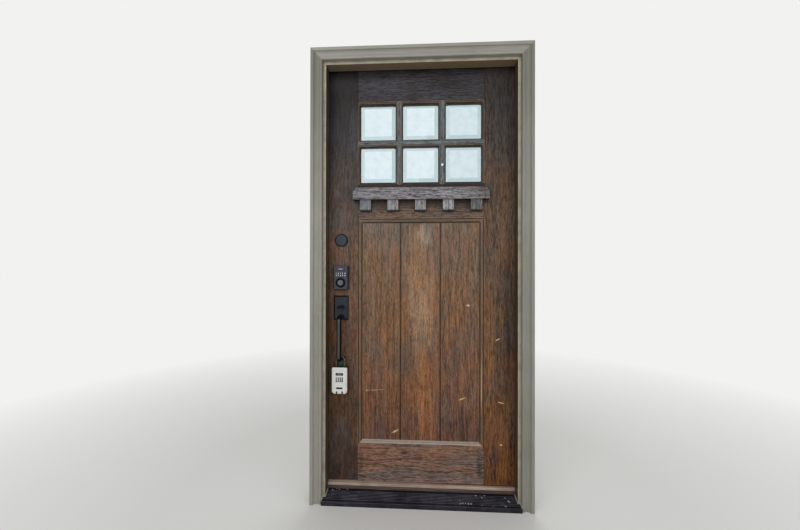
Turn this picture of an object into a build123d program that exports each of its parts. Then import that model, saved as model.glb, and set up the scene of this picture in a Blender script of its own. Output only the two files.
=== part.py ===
from build123d import *
from math import cos, pi, sin, sqrt, tan, radians
import os

# A panelled front door hung in its frame, in millimetres.
# X runs to the right seen from outside, Y runs into the house and Z runs up.
# The origin is on the underside of the threshold, half way through the depth of the jambs.

# Leaf
LEAF_WIDTH = 914.4
LEAF_HEIGHT = 2013.0
LEAF_THICKNESS = 44.45
LEAF_GAP = 3.2
LEAF_FLOOR_GAP = 3.0
STILE_WIDTH = 151.2
TOP_RAIL_HEIGHT = 159.5
SHELF_RAIL_HEIGHT = 167.0
BOTTOM_RAIL_HEIGHT = 168.5
TENON_LENGTH = 60.0
TENON_THICKNESS = 14.0
TENON_SHOULDER = 28.0

# Glazing: rows and columns of bevelled lites between muntins
LITE_COLUMNS = 3
LITE_ROWS = 2
LITE_HEIGHT = 171.0
MUNTIN_WIDTH = 38.0
GLASS_STICKING = 12.0
GLASS_SETBACK = 12.0
GLASS_THICKNESS = 16.0
GLASS_REBATE = 8.0
GLASS_CLEARANCE = 0.8
GLASS_BEVEL_WIDTH = 18.0
GLASS_BEVEL_DEPTH = 2.5
BEAD_CHAMFER = 5.0

# Planked panel in the lower part of the leaf
PANEL_STICKING = 22.0
PANEL_BEVEL = 30.0
PANEL_SETBACK = 11.0
PANEL_GROOVE = 10.0
PLANK_THICKNESS = 20.0
MIDDLE_PLANK_WIDTH = 195.0
PLANK_VEE = 5.0
PLANK_TONGUE = 7.0
PLANK_TONGUE_THICKNESS = 6.0
PLANK_CLEARANCE = 0.25
STICKING_QUIRK = 2.0
OVOLO_STEPS = 3

# Dentil shelf under the glass
SHELF_WIDTH = 656.0
SHELF_HEIGHT = 66.0
SHELF_LIP = 16.0
SHELF_DEPTH = 34.0
SHELF_SLOPE = 20.0
SHELF_BELOW_GLASS = 78.0
DENTIL_COUNT = 5
DENTIL_PITCH = 133.5
DENTIL_WIDTH = 52.0
DENTIL_HEIGHT = 51.0
DENTIL_DEPTH = 23.0
DENTIL_CHAMFER = 4.0

# Jambs, head and weatherstrip
JAMB_DEPTH = 116.0
JAMB_THICKNESS = 31.75
STOP_HEIGHT = 12.7
WEATHER_GAP = 12.7
WEATHER_WIDTH = 9.0
WEATHER_CLEARANCE = 0.4
WEATHER_ROUND = 3.0
KERF_WIDTH = 3.0
KERF_DEPTH = 8.0
KERF_INSET = 3.0
JAMB_SCREW_RADIUS = 2.6
JAMB_SCREW_COUNT = 3
JAMB_SCREW_SPACING = 780.0
JAMB_SCREW_LOWEST = 180.0

# Brickmould planted on the front edges of the jambs
MOULD_WIDTH = 54.0
MOULD_THICKNESS = 32.0
MOULD_REVEAL = 12.7
MOULD_INNER_THICKNESS = 25.0
MOULD_NOSE = 6.0
MOULD_NOSE_WIDTH = 11.0
MOULD_OUTER_WIDTH = 16.0
MOULD_COVE_SINK = 4.0
MOULD_EDGE_ROUND = 2.0

# Threshold
CAP_THICKNESS = 12.5
CAP_FRONT = -6.0
CAP_BACK = 54.0
CAP_ROUND = 3.0
CAP_SHADOW = 1.5
CAP_SHADOW_DEPTH = 4.0
BASE_TOP = 46.0
BASE_NOSE_FRONT = -10.0
BASE_NOSE_UNDERSIDE = 36.0
BASE_NOSE_CHAMFER = 1.5
DECK_THICKNESS = 2.5
DECK_BACK = -7.0
DECK_BACK_HEIGHT = 32.0
DECK_NOSE_HEIGHT = 20.0
DECK_NOSE_CHAMFER = 2.0
DECK_RIB_COUNT = 7
DECK_RIB_PITCH = 8.5
DECK_RIB_WIDTH = 2.4
DECK_RIB_HEIGHT = 1.2
SILL_END_CLEARANCE = 0.4
SWEEP_THICKNESS = 2.0
SWEEP_WIDTH = 36.0
SWEEP_FIN_WIDTH = 2.0
SWEEP_FIN_COUNT = 3
SWEEP_CLEARANCE = 0.4
SWEEP_KERF_DEPTH = 10.0

# Butt hinges
HINGE_COUNT = 3
HINGE_HEIGHT = 101.6
HINGE_FROM_TOP = 178.0
HINGE_FROM_BOTTOM = 254.0
HINGE_PLATE = 2.5
HINGE_PLATE_REACH = 38.0
HINGE_BARREL_RADIUS = 6.35
HINGE_PIN_RADIUS = 3.5
HINGE_PIN_PLAY = 0.05
HINGE_PIN_OFFSET = 7.0
HINGE_KNUCKLES = 5
HINGE_KNUCKLE_GAP = 0.3
HINGE_CUT_CLEARANCE = 0.4
HINGE_PIN_HEAD = 5.5
HINGE_PIN_HEAD_HEIGHT = 3.0
HINGE_PLAY = 0.05

# Locks: one backset for all three
BACKSET = 69.85
KEYPAD_LOCK_HEIGHT = 1031.0
UPPER_LOCK_ABOVE_KEYPAD = 207.0
LATCH_BELOW_KEYPAD = 139.7
CROSS_BORE = 54.0
EDGE_BORE = 25.4
CASE_CLEARANCE = 0.2
CASE_TAIL = 14.0
FACEPLATE_WIDTH = 25.4
FACEPLATE_HEIGHT = 57.0
FACEPLATE_THICKNESS = 3.0
BOLT_RADIUS = 8.0
BOLT_PLAY = 0.05
BOLT_LENGTH = 55.0
BOLT_SINK = 0.3
BOLT_CHAMFER = 0.9
BOLT_BORE_WEB = 2.0
LATCH_LENGTH = 60.0
LATCH_THROW = 12.7
LATCH_TIP = 6.0
SPINDLE_RADIUS = 3.5
SPINDLE_PLAY = 0.05
STRIKE_WIDTH = 28.0
STRIKE_HEIGHT = 70.0
STRIKE_THICKNESS = 1.6
STRIKE_HOLE_MARGIN = 2.0
LATCH_STRIKE_HEIGHT = 57.0
LATCH_STRIKE_LIP = 5.0

# Round roses and turns
ROSE_RADIUS = 31.0
ROSE_THICKNESS = 11.0
ROSE_BEVEL = 4.0
ROSE_GROOVE = 1.0
TURN_HUB_RADIUS = 12.0
TURN_HUB_HEIGHT = 7.0
TURN_WIDTH = 40.0
TURN_THICKNESS = 9.0
TURN_HEIGHT = 17.0
TURN_CHAMFER = 1.8
TURN_GAP = 0.3
ROUND_END_FLAT = 0.3

# Keypad deadbolt
KEYPAD_WIDTH = 72.5
KEYPAD_HEIGHT = 119.0
KEYPAD_THICKNESS = 22.0
KEYPAD_CORNER = 5.0
KEYPAD_CHAMFER = 3.0
KEYPAD_RISE = 24.0
KEY_COUNT = 5
KEY_PITCH = 10.6
KEY_WIDTH = 9.4
KEY_HEIGHT = 19.0
KEY_DEPTH = 7.0
KEY_PROUD = 1.6
KEY_TRAVEL = 1.2
KEY_CLEARANCE = 0.3
KEY_ROW_RISE = 39.5
KEY_EDGE_ROUND = 1.0
LOCK_BUTTON_RISE = 66.0
LOCK_BUTTON_WIDTH = 41.0
LOCK_BUTTON_HEIGHT = 12.0
LOCK_BUTTON_DOME = 1.2
KEY_GUARD_RADIUS = 23.5
KEY_GUARD_HEIGHT = 6.0
KEY_CYLINDER_RADIUS = 17.3
KEY_CYLINDER_HEIGHT = 7.5
KEY_CYLINDER_RIM = 4.0
KEY_CYLINDER_BEVEL = 1.0
KEY_CYLINDER_DISH = 2.0
KEY_CYLINDER_CLEARANCE = 0.1
KEY_PLUG_SET = 1.0
KEY_PLUG_RADIUS = 6.4
KEY_PLUG_PLAY = 0.05
KEY_PLUG_LENGTH = 26.0
KEYWAY_WIDTH = 2.2
KEYWAY_HEIGHT = 9.0
KEYWAY_DEPTH = 20.0
INSIDE_COVER_WIDTH = 70.0
INSIDE_COVER_HEIGHT = 150.0
INSIDE_COVER_THICKNESS = 30.0
INSIDE_COVER_CORNER = 10.0
INSIDE_COVER_BEVEL = 5.0
INSIDE_COVER_RISE = 35.0

# Handle plate, thumb piece and grip
PLATE_WIDTH = 73.0
PLATE_HEIGHT = 119.0
PLATE_THICKNESS = 12.0
PLATE_BEVEL = 7.0
PLATE_RISE = 16.0
THUMB_WIDTH = 27.0
THUMB_REACH = 34.0
THUMB_THICKNESS = 4.5
THUMB_DROP = 7.0
THUMB_RISE = 22.0
THUMB_TAIL = 9.0
THUMB_TAIL_DROP = 6.0
THUMB_TAIL_WIDTH = 9.0
THUMB_ARCH = 1.75
THUMB_PIVOT_RADIUS = 4.0
THUMB_PIN_RADIUS = 2.0
THUMB_PLAY = 0.05
THUMB_SLOT_CLEARANCE = 0.8
THUMB_SWEEP_ROOM = 6.5
GRIP_WIDTH = 22.0
GRIP_DEPTH = 14.0
GRIP_CHAMFER = 6.0
GRIP_STANDOFF = 57.5
GRIP_BELOW_LATCH = 23.3
GRIP_LENGTH = 209.3
GRIP_BEND = 24.0
GRIP_FOOT_WIDTH = 36.0
GRIP_FOOT_HEIGHT = 52.0
GRIP_FOOT_DROP = 15.7
GRIP_FOOT_THICKNESS = 5.0
GRIP_FOOT_CHAMFER = 2.0
LEVER_ROSE_RADIUS = 33.0
LEVER_NECK_RADIUS = 9.0
LEVER_NECK_LENGTH = 38.0
LEVER_LENGTH = 112.0
LEVER_HEIGHT = 19.0
LEVER_THICKNESS = 12.0
LEVER_ROUND = 4.0

# Key safe hung on the grip
SAFE_WIDTH = 74.5
SAFE_HEIGHT = 126.0
SAFE_DEPTH = 38.0
SAFE_TOP_ROUND = 5.0
SAFE_BOTTOM_ROUND = 15.0
SAFE_EDGE_ROUND = 3.0
SAFE_OUT = 25.0
SAFE_DROP = 30.0
SAFE_COVER_MARGIN = 5.0
SAFE_COVER_TOP = 14.0
SAFE_COVER_THICKNESS = 8.0
SAFE_COVER_PROUD = 1.5
SAFE_COVER_GAP = 0.3
SAFE_COVER_ROUND = 4.0
SAFE_NOTCH_WIDTH = 7.0
SAFE_NOTCH_HEIGHT = 6.0
SAFE_NOTCH_SPACING = 27.0
SHACKLE_RADIUS = 4.0
SHACKLE_SPREAD = 41.0
SHACKLE_LEG_DEPTH = 14.0
SHACKLE_REST_GAP = 0.3
SHACKLE_PLAY = 0.05
WHEEL_COUNT = 4
WHEEL_PITCH = 9.6
WHEEL_RADIUS = 11.0
WHEEL_THICKNESS = 5.6
WHEEL_BORE = 2.5
WHEEL_PLAY = 0.05
WHEEL_PROUD = 1.6
WHEEL_CLEARANCE = 0.5
WHEEL_FROM_TOP = 57.0
SLIDER_FROM_TOP = 31.5
SLIDER_SLOT_WIDTH = 38.0
SLIDER_SLOT_HEIGHT = 13.0
SLIDER_SLOT_DEPTH = 4.0
SLIDER_WIDTH = 21.0
SLIDER_HEIGHT = 11.4
SLIDER_GAP = 0.3
LOWER_SLOT_FROM_TOP = 98.0
LOWER_SLOT_WIDTH = 32.0
LOWER_SLOT_HEIGHT = 9.0
LOWER_SLOT_CORNER = 2.25

# Places worked out from the sizes above
LEAF_IN = JAMB_DEPTH / 2
LEAF_OUT = LEAF_IN - LEAF_THICKNESS
LEAF_MID = (LEAF_IN + LEAF_OUT) / 2
LEAF_HALF = LEAF_WIDTH / 2
CAP_TOP = BASE_TOP + CAP_THICKNESS
LEAF_BOTTOM = CAP_TOP + LEAF_FLOOR_GAP
LEAF_TOP = LEAF_BOTTOM + LEAF_HEIGHT
STILE_EDGE = LEAF_HALF - STILE_WIDTH
GLAZING_TOP = LEAF_TOP - TOP_RAIL_HEIGHT
GLAZING_HEIGHT = LITE_ROWS * LITE_HEIGHT + (LITE_ROWS - 1) * MUNTIN_WIDTH + 2 * GLASS_STICKING
GLAZING_BOTTOM = GLAZING_TOP - GLAZING_HEIGHT
PANEL_TOP = GLAZING_BOTTOM - SHELF_RAIL_HEIGHT
PANEL_BOTTOM = LEAF_BOTTOM + BOTTOM_RAIL_HEIGHT
PANEL_EDGE = STILE_EDGE - PANEL_STICKING
PLANK_FRONT = LEAF_OUT + PANEL_SETBACK
PLANK_BACK = PLANK_FRONT + PLANK_THICKNESS
LITE_WIDTH = (2 * STILE_EDGE - 2 * GLASS_STICKING - (LITE_COLUMNS - 1) * MUNTIN_WIDTH) / LITE_COLUMNS
RABBET_X = LEAF_HALF + LEAF_GAP
STOP_X = RABBET_X - STOP_HEIGHT
JAMB_BACK_X = STOP_X + JAMB_THICKNESS
RABBET_Z = LEAF_TOP + LEAF_GAP
STOP_Z = RABBET_Z - STOP_HEIGHT
HEAD_TOP_Z = STOP_Z + JAMB_THICKNESS
JAMB_FRONT = -JAMB_DEPTH / 2
STOP_SHOULDER = LEAF_OUT - WEATHER_GAP
MOULD_INNER_X = STOP_X + MOULD_REVEAL
MOULD_OUTER_X = MOULD_INNER_X + MOULD_WIDTH
MOULD_INNER_Z = STOP_Z + MOULD_REVEAL
MOULD_OUTER_Z = MOULD_INNER_Z + MOULD_WIDTH
MOULD_FRONT = JAMB_FRONT - MOULD_THICKNESS
HINGE_PIN_X = (LEAF_HALF + RABBET_X) / 2
HINGE_PIN_Y = LEAF_IN + HINGE_PIN_OFFSET
LOCK_X = -LEAF_HALF + BACKSET
UPPER_LOCK_HEIGHT = KEYPAD_LOCK_HEIGHT + UPPER_LOCK_ABOVE_KEYPAD
LATCH_HEIGHT = KEYPAD_LOCK_HEIGHT - LATCH_BELOW_KEYPAD
LOCK_HEIGHTS = (UPPER_LOCK_HEIGHT, KEYPAD_LOCK_HEIGHT, LATCH_HEIGHT)
KEYPAD_FRONT = LEAF_OUT - KEYPAD_THICKNESS
PLATE_FRONT = LEAF_OUT - PLATE_THICKNESS
THUMB_HEIGHT = LATCH_HEIGHT + THUMB_RISE
THUMB_PIVOT_Y = (PLATE_FRONT + LEAF_OUT) / 2
GRIP_Y = LEAF_OUT - GRIP_STANDOFF
GRIP_TOP = LATCH_HEIGHT - GRIP_BELOW_LATCH
GRIP_BOTTOM = GRIP_TOP - GRIP_LENGTH
SAFE_Y = LEAF_OUT - SAFE_OUT
GRIP_RETURN_TOP = GRIP_BOTTOM + GRIP_DEPTH / 2
SHACKLE_BEND = SHACKLE_SPREAD / 2
SHACKLE_REST_RADIUS = SHACKLE_BEND - SHACKLE_RADIUS - SHACKLE_REST_GAP
SHACKLE_CENTRE = GRIP_RETURN_TOP - sqrt(SHACKLE_REST_RADIUS ** 2 - (GRIP_WIDTH / 2) ** 2)
SAFE_TOP = SHACKLE_CENTRE - SAFE_DROP
SAFE_BOTTOM = SAFE_TOP - SAFE_HEIGHT
SAFE_FRONT = SAFE_Y - SAFE_DEPTH / 2
SAFE_FACE = SAFE_FRONT - SAFE_COVER_PROUD
WHEEL_Z = SAFE_TOP - WHEEL_FROM_TOP
WHEEL_Y = SAFE_FACE - WHEEL_PROUD + WHEEL_RADIUS
SLIDER_Z = SAFE_TOP - SLIDER_FROM_TOP
KEYPAD_Z = KEYPAD_LOCK_HEIGHT + KEYPAD_RISE
KEY_ROW_Z = KEYPAD_LOCK_HEIGHT + KEY_ROW_RISE
LOCK_BUTTON_Z = KEYPAD_LOCK_HEIGHT + LOCK_BUTTON_RISE
KEY_POCKET_BACK = KEYPAD_FRONT + KEY_DEPTH + KEY_TRAVEL
BOLT_BORE_END = LOCK_X - SPINDLE_RADIUS - BOLT_BORE_WEB
WHEEL_ROW_HALF = (WHEEL_COUNT - 1) / 2 * WHEEL_PITCH + WHEEL_THICKNESS / 2 + WHEEL_CLEARANCE
BEYOND = 1.0


def block(x_low, x_high, y_low, y_high, z_low, z_high):
    """A square-edged block between two corners."""
    middle = Pos((x_low + x_high) / 2, (y_low + y_high) / 2, (z_low + z_high) / 2)
    return middle * Box(x_high - x_low, y_high - y_low, z_high - z_low)


def board(outline, y_low, y_high):
    """A flat piece sawn to an outline seen from the front, given as (x, z) points."""
    face = Plane.XZ.offset(-y_high) * Polygon(*outline, align=None)
    return extrude(face, amount=y_high - y_low, dir=(0, -1, 0))


def lengthwise(section, x_low, x_high):
    """A straight length along X with its section given as (y, z) points."""
    face = Plane.YZ.offset(x_low) * Polygon(*section, align=None)
    return extrude(face, amount=x_high - x_low, dir=(1, 0, 0))


def upright(section, z_low, z_high):
    """A straight length standing up with its section given as (x, y) points."""
    face = Plane.XY.offset(z_low) * Polygon(*section, align=None)
    return extrude(face, amount=z_high - z_low, dir=(0, 0, 1))


def rod_x(y, z, radius, x_low, x_high):
    return Pos((x_low + x_high) / 2, y, z) * Rot(0, 90, 0) * Cylinder(radius, x_high - x_low)


def rod_y(x, z, radius, y_low, y_high):
    return Pos(x, (y_low + y_high) / 2, z) * Rot(90, 0, 0) * Cylinder(radius, y_high - y_low)


def rod_z(x, y, radius, z_low, z_high):
    return Pos(x, y, (z_low + z_high) / 2) * Cylinder(radius, z_high - z_low)


def turned(profile, x, y_face, z, outward):
    """A turned piece on the leaf: (radius, height) points, height counted off the face."""
    points = [(radius, outward * height) for radius, height in profile]
    plane = Plane(origin=(x, y_face, z), x_dir=(1, 0, 0), z_dir=(0, 0, 1))
    return revolve(plane * Polygon(*points, align=None), axis=Axis((x, y_face, z), (0, 1, 0)))


def rounded_slab(x, z, width, height, corner, y_low, y_high):
    """A plate with rounded corners seen from the front."""
    face = Plane.XZ.offset(-y_high) * Pos(x, z) * RectangleRounded(width, height, corner)
    return extrude(face, amount=y_high - y_low)


def evenly(middle, count, pitch):
    """Centres of a row of pieces, set at one pitch about its middle."""
    return [middle + (index - (count - 1) / 2) * pitch for index in range(count)]


def front_edges(piece):
    return piece.edges().group_by(Axis.Y)[0]


def back_edges(piece):
    return piece.edges().group_by(Axis.Y)[-1]


def mirrored(piece):
    """The same piece on the other side of the door's centre line."""
    return mirror(piece, about=Plane.YZ)


def save(node, *solids):
    """Write one node, which is one piece or a group of like pieces."""
    pieces = [solid for item in solids for solid in item.solids()]
    export_step(Compound(children=pieces) if len(pieces) > 1 else pieces[0], f"parts/{node}.step")


# Leaf: stiles, rails and muntins are cut from one moulded blank along their real joints


def lite_spans(start, count, size):
    """The daylight spans of a row or column of lites, from the low side up."""
    step = size + MUNTIN_WIDTH
    return [(start + index * step, start + index * step + size) for index in range(count)]


LITE_X_SPANS = lite_spans(-STILE_EDGE + GLASS_STICKING, LITE_COLUMNS, LITE_WIDTH)
LITE_Z_SPANS = lite_spans(GLAZING_BOTTOM + GLASS_STICKING, LITE_ROWS, LITE_HEIGHT)


def ovolo_cut(outer, inner, y_face, depth, inward):
    """The waste that an ovolo cutter takes around an opening: a square quirk, then a quarter round.

    outer and inner are (x_low, x_high, z_low, z_high); inward is 1 from outside, -1 from inside.
    """
    stages = []
    for step in range(OVOLO_STEPS + 1):
        turn = pi / 2 * step / OVOLO_STEPS
        sides = [a + (b - a) * sin(turn) for a, b in zip(outer, inner)]
        drop = STICKING_QUIRK + (depth - STICKING_QUIRK) * (1 - cos(turn))
        stages.append((sides, y_face + inward * drop))
    waste = []
    surface = y_face - inward * BEYOND
    first_y = stages[0][1]
    waste.append(block(outer[0], outer[1], min(surface, first_y), max(surface, first_y), outer[2], outer[3]))
    for low, high in zip(stages, stages[1:]):
        faces = []
        for (x_low, x_high, z_low, z_high), y in (low, high):
            centre = Pos((x_low + x_high) / 2, (z_low + z_high) / 2)
            faces.append(Plane.XZ.offset(-y) * centre * Rectangle(x_high - x_low, z_high - z_low))
        waste.append(loft(faces, ruled=True))
    return waste


def leaf_blank():
    """The stile-and-rail frame of the leaf as one piece, moulded and rebated."""
    blank = block(-LEAF_HALF, LEAF_HALF, LEAF_OUT, LEAF_IN, LEAF_BOTTOM, LEAF_TOP)
    waste = []
    for x_low, x_high in LITE_X_SPANS:
        for z_low, z_high in LITE_Z_SPANS:
            grow = GLASS_STICKING
            outer = (x_low - grow, x_high + grow, z_low - grow, z_high + grow)
            glass_front = LEAF_OUT + GLASS_SETBACK
            waste += ovolo_cut(outer, (x_low, x_high, z_low, z_high), LEAF_OUT, GLASS_SETBACK, 1)
            grow = GLASS_REBATE
            waste.append(block(x_low - grow, x_high + grow, glass_front, LEAF_IN + BEYOND,
                               z_low - grow, z_high + grow))
    outer = (-STILE_EDGE, STILE_EDGE, PANEL_BOTTOM, PANEL_TOP)
    inner = (-PANEL_EDGE, PANEL_EDGE, PANEL_BOTTOM + PANEL_BEVEL, PANEL_TOP - PANEL_STICKING)
    waste += ovolo_cut(outer, inner, LEAF_OUT, PANEL_SETBACK, 1)
    waste += ovolo_cut(outer, inner, LEAF_IN, LEAF_IN - PLANK_BACK, -1)
    waste.append(block(-PANEL_EDGE - PANEL_GROOVE, PANEL_EDGE + PANEL_GROOVE, PLANK_FRONT, PLANK_BACK,
                       inner[2] - PANEL_GROOVE, inner[3] + PANEL_GROOVE))
    return blank - waste


def moulded_edge(edge, stretches):
    """Points along a member's edge, with a mitred step where it carries the moulding.

    Each stretch is (low, high, reach, low_mitre, high_mitre) in the edge's own direction.
    """
    points = []
    for low, high, reach, low_mitre, high_mitre in stretches:
        points += [(low, edge), (low + low_mitre, edge + reach)]
        points += [(high - high_mitre, edge + reach), (high, edge)]
    return points


def lite_stretches(spans, reach):
    grow = GLASS_STICKING
    return [(low - grow, high + grow, reach, grow, grow) for low, high in spans]


def part_off(blank, outline):
    return blank & board(outline, LEAF_OUT - BEYOND, LEAF_IN + BEYOND)


def stile(blank):
    """The stile on the positive side, before its own cuts."""
    stretches = [(PANEL_BOTTOM, PANEL_TOP, -PANEL_STICKING, PANEL_BEVEL, PANEL_STICKING)]
    stretches += lite_stretches(LITE_Z_SPANS, -GLASS_STICKING)
    edge = [(x, z) for z, x in moulded_edge(STILE_EDGE, stretches)]
    outline = [(STILE_EDGE, LEAF_BOTTOM)] + edge
    outline += [(STILE_EDGE, LEAF_TOP), (LEAF_HALF, LEAF_TOP), (LEAF_HALF, LEAF_BOTTOM)]
    return part_off(blank, outline)


def tenon(z_low, z_high):
    """The tenon on a rail's positive end, which its mortise in the stile matches."""
    half = TENON_THICKNESS / 2
    return block(STILE_EDGE, STILE_EDGE + TENON_LENGTH, LEAF_MID - half, LEAF_MID + half,
                 z_low + TENON_SHOULDER, z_high - TENON_SHOULDER)


RAIL_SPANS = {
    "top_rail": (GLAZING_TOP, LEAF_TOP),
    "shelf_rail": (PANEL_TOP, GLAZING_BOTTOM),
    "bottom_rail": (LEAF_BOTTOM, PANEL_BOTTOM),
}


def rail_outline(node):
    low, high = RAIL_SPANS[node]
    panel = (-STILE_EDGE, STILE_EDGE)
    bottom = [(-STILE_EDGE, low), (STILE_EDGE, low)]
    top = [(-STILE_EDGE, high), (STILE_EDGE, high)]
    if node == "top_rail":
        bottom = moulded_edge(low, lite_stretches(LITE_X_SPANS, -GLASS_STICKING))
    if node == "shelf_rail":
        top = moulded_edge(high, lite_stretches(LITE_X_SPANS, GLASS_STICKING))
        bottom = moulded_edge(low, [(*panel, -PANEL_STICKING, PANEL_STICKING, PANEL_STICKING)])
    if node == "bottom_rail":
        top = moulded_edge(high, [(*panel, PANEL_BEVEL, PANEL_STICKING, PANEL_STICKING)])
    return bottom + top[::-1]


def rail(blank, node):
    piece = part_off(blank, rail_outline(node))
    end = tenon(*RAIL_SPANS[node])
    return piece + end + mirrored(end)


def sweep_kerf():
    """The saw cut along the leaf's bottom edge that holds the sweep."""
    half = SWEEP_FIN_WIDTH / 2
    return block(-LEAF_HALF - BEYOND, LEAF_HALF + BEYOND, LEAF_MID - half, LEAF_MID + half,
                 LEAF_BOTTOM - BEYOND, LEAF_BOTTOM + SWEEP_KERF_DEPTH)


def hinge_stile(blank):
    piece = stile(blank) - [tenon(*span) for span in RAIL_SPANS.values()]
    return piece - [leaf_hinge_mortise(z) for z in hinge_heights()] - sweep_kerf()


def lock_stile(blank):
    piece = mirrored(stile(blank) - [tenon(*span) for span in RAIL_SPANS.values()])
    for z in LOCK_HEIGHTS:
        piece -= rod_y(LOCK_X, z, CROSS_BORE / 2, LEAF_OUT - BEYOND, LEAF_IN + BEYOND)
        piece -= rod_x(LEAF_MID, z, EDGE_BORE / 2, -LEAF_HALF - BEYOND, LOCK_X)
        piece -= faceplate(z, BEYOND)
    return piece - sweep_kerf()


def muntins(blank):
    """Upright bars run through, and the short cross bars are coped between them."""
    flat = MUNTIN_WIDTH / 2 - GLASS_STICKING
    bars = []
    for (_, low), (high, _) in zip(LITE_X_SPANS, LITE_X_SPANS[1:]):
        middle = (low + high) / 2
        right = moulded_edge(middle + flat, lite_stretches(LITE_Z_SPANS, GLASS_STICKING))
        left = moulded_edge(middle - flat, lite_stretches(LITE_Z_SPANS, -GLASS_STICKING))
        outline = [(x, z) for z, x in right] + [(x, z) for z, x in left[::-1]]
        bars.append(part_off(blank, outline))
    for (_, low), (high, _) in zip(LITE_Z_SPANS, LITE_Z_SPANS[1:]):
        middle = (low + high) / 2
        for span in LITE_X_SPANS:
            bottom = moulded_edge(middle - flat, lite_stretches([span], -GLASS_STICKING))
            top = moulded_edge(middle + flat, lite_stretches([span], GLASS_STICKING))
            bars.append(part_off(blank, bottom + top[::-1]))
    return bars


def pane(x_low, x_high, z_low, z_high):
    """One bevelled glass pane in its rebate, with the bevel outside."""
    grow = GLASS_REBATE - GLASS_CLEARANCE
    front = LEAF_OUT + GLASS_SETBACK
    plate = block(x_low - grow, x_high + grow, front, front + GLASS_THICKNESS, z_low - grow, z_high + grow)
    outer = (x_low, x_high, z_low, z_high)
    centre = Pos((x_low + x_high) / 2, (z_low + z_high) / 2)
    width = x_high - x_low
    height = z_high - z_low
    raised = loft([
        Plane.XZ.offset(-front) * centre * Rectangle(width, height),
        Plane.XZ.offset(-front + GLASS_BEVEL_DEPTH) * centre
        * Rectangle(width - 2 * GLASS_BEVEL_WIDTH, height - 2 * GLASS_BEVEL_WIDTH),
    ], ruled=True)
    return plate + raised


def glazing_bead(x_low, x_high, z_low, z_high):
    """The mitred wooden bead that holds one pane from inside."""
    grow = GLASS_REBATE
    back = LEAF_OUT + GLASS_SETBACK + GLASS_THICKNESS
    ring = block(x_low - grow, x_high + grow, back, LEAF_IN, z_low - grow, z_high + grow)
    ring -= block(x_low, x_high, back - BEYOND, LEAF_IN + BEYOND, z_low, z_high)
    centre = Pos((x_low + x_high) / 2, (z_low + z_high) / 2)
    width = x_high - x_low
    height = z_high - z_low
    flare = loft([
        Plane.XZ.offset(-LEAF_IN + BEAD_CHAMFER) * centre * Rectangle(width, height),
        Plane.XZ.offset(-LEAF_IN) * centre * Rectangle(width + 2 * BEAD_CHAMFER, height + 2 * BEAD_CHAMFER),
    ], ruled=True)
    return ring - flare


def every_lite(make):
    return [make(*x_span, *z_span) for x_span in LITE_X_SPANS for z_span in LITE_Z_SPANS]


def planks():
    """Tongued and grooved planks with a vee where two faces meet."""
    low_end = PANEL_BOTTOM + PANEL_BEVEL - PANEL_GROOVE
    high_end = PANEL_TOP - PANEL_STICKING + PANEL_GROOVE
    half = MIDDLE_PLANK_WIDTH / 2
    edge = PANEL_EDGE + PANEL_GROOVE
    middle = (PLANK_FRONT + PLANK_BACK) / 2
    tongue = PLANK_TONGUE_THICKNESS / 2
    slot = tongue + PLANK_CLEARANCE
    pieces = []
    for x_low, x_high in ((-edge, -half), (-half, half), (half, edge)):
        grooved = x_low > -edge
        tongued = x_high < edge
        vee_low = PLANK_VEE if grooved else 0
        vee_high = PLANK_VEE if tongued else 0
        section = [(x_low + vee_low, PLANK_FRONT), (x_high - vee_high, PLANK_FRONT)]
        if tongued:
            section += [(x_high, PLANK_FRONT + PLANK_VEE), (x_high, middle - tongue)]
            section += [(x_high + PLANK_TONGUE, middle - tongue), (x_high + PLANK_TONGUE, middle + tongue)]
            section += [(x_high, middle + tongue)]
        section += [(x_high, PLANK_BACK), (x_low, PLANK_BACK)]
        if grooved:
            sunk = x_low + PLANK_TONGUE + PLANK_CLEARANCE
            section += [(x_low, middle + slot), (sunk, middle + slot)]
            section += [(sunk, middle - slot), (x_low, middle - slot), (x_low, PLANK_FRONT + PLANK_VEE)]
        pieces.append(upright(section, low_end, high_end))
    return pieces


def dentil_shelf():
    """The shelf moulding with mitred returns: a square lip below and a slope back to the leaf."""
    lip_top = GLAZING_BOTTOM - SHELF_BELOW_GLASS + SHELF_LIP
    half = SHELF_WIDTH / 2
    top_half = half - SHELF_SLOPE
    top = lip_top + SHELF_HEIGHT - SHELF_LIP
    front = LEAF_OUT - SHELF_DEPTH
    lip = block(-half, half, front, LEAF_OUT, lip_top - SHELF_LIP, lip_top)
    low = Plane.XY.offset(lip_top) * Polygon(
        (-half, LEAF_OUT), (-half, front), (half, front), (half, LEAF_OUT), align=None)
    high = Plane.XY.offset(top) * Polygon(
        (-top_half, LEAF_OUT), (-top_half, front + SHELF_SLOPE), (top_half, front + SHELF_SLOPE),
        (top_half, LEAF_OUT), align=None)
    return lip + loft([low, high], ruled=True)


def dentils():
    """Blocks planted under the shelf, with their lower front edge taken off."""
    top = GLAZING_BOTTOM - SHELF_BELOW_GLASS
    bottom = top - DENTIL_HEIGHT
    front = LEAF_OUT - DENTIL_DEPTH
    section = [(LEAF_OUT, top), (front, top), (front, bottom + DENTIL_CHAMFER),
               (front + DENTIL_CHAMFER, bottom), (LEAF_OUT, bottom)]
    half = DENTIL_WIDTH / 2
    return [lengthwise(section, x - half, x + half) for x in evenly(0, DENTIL_COUNT, DENTIL_PITCH)]


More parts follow.
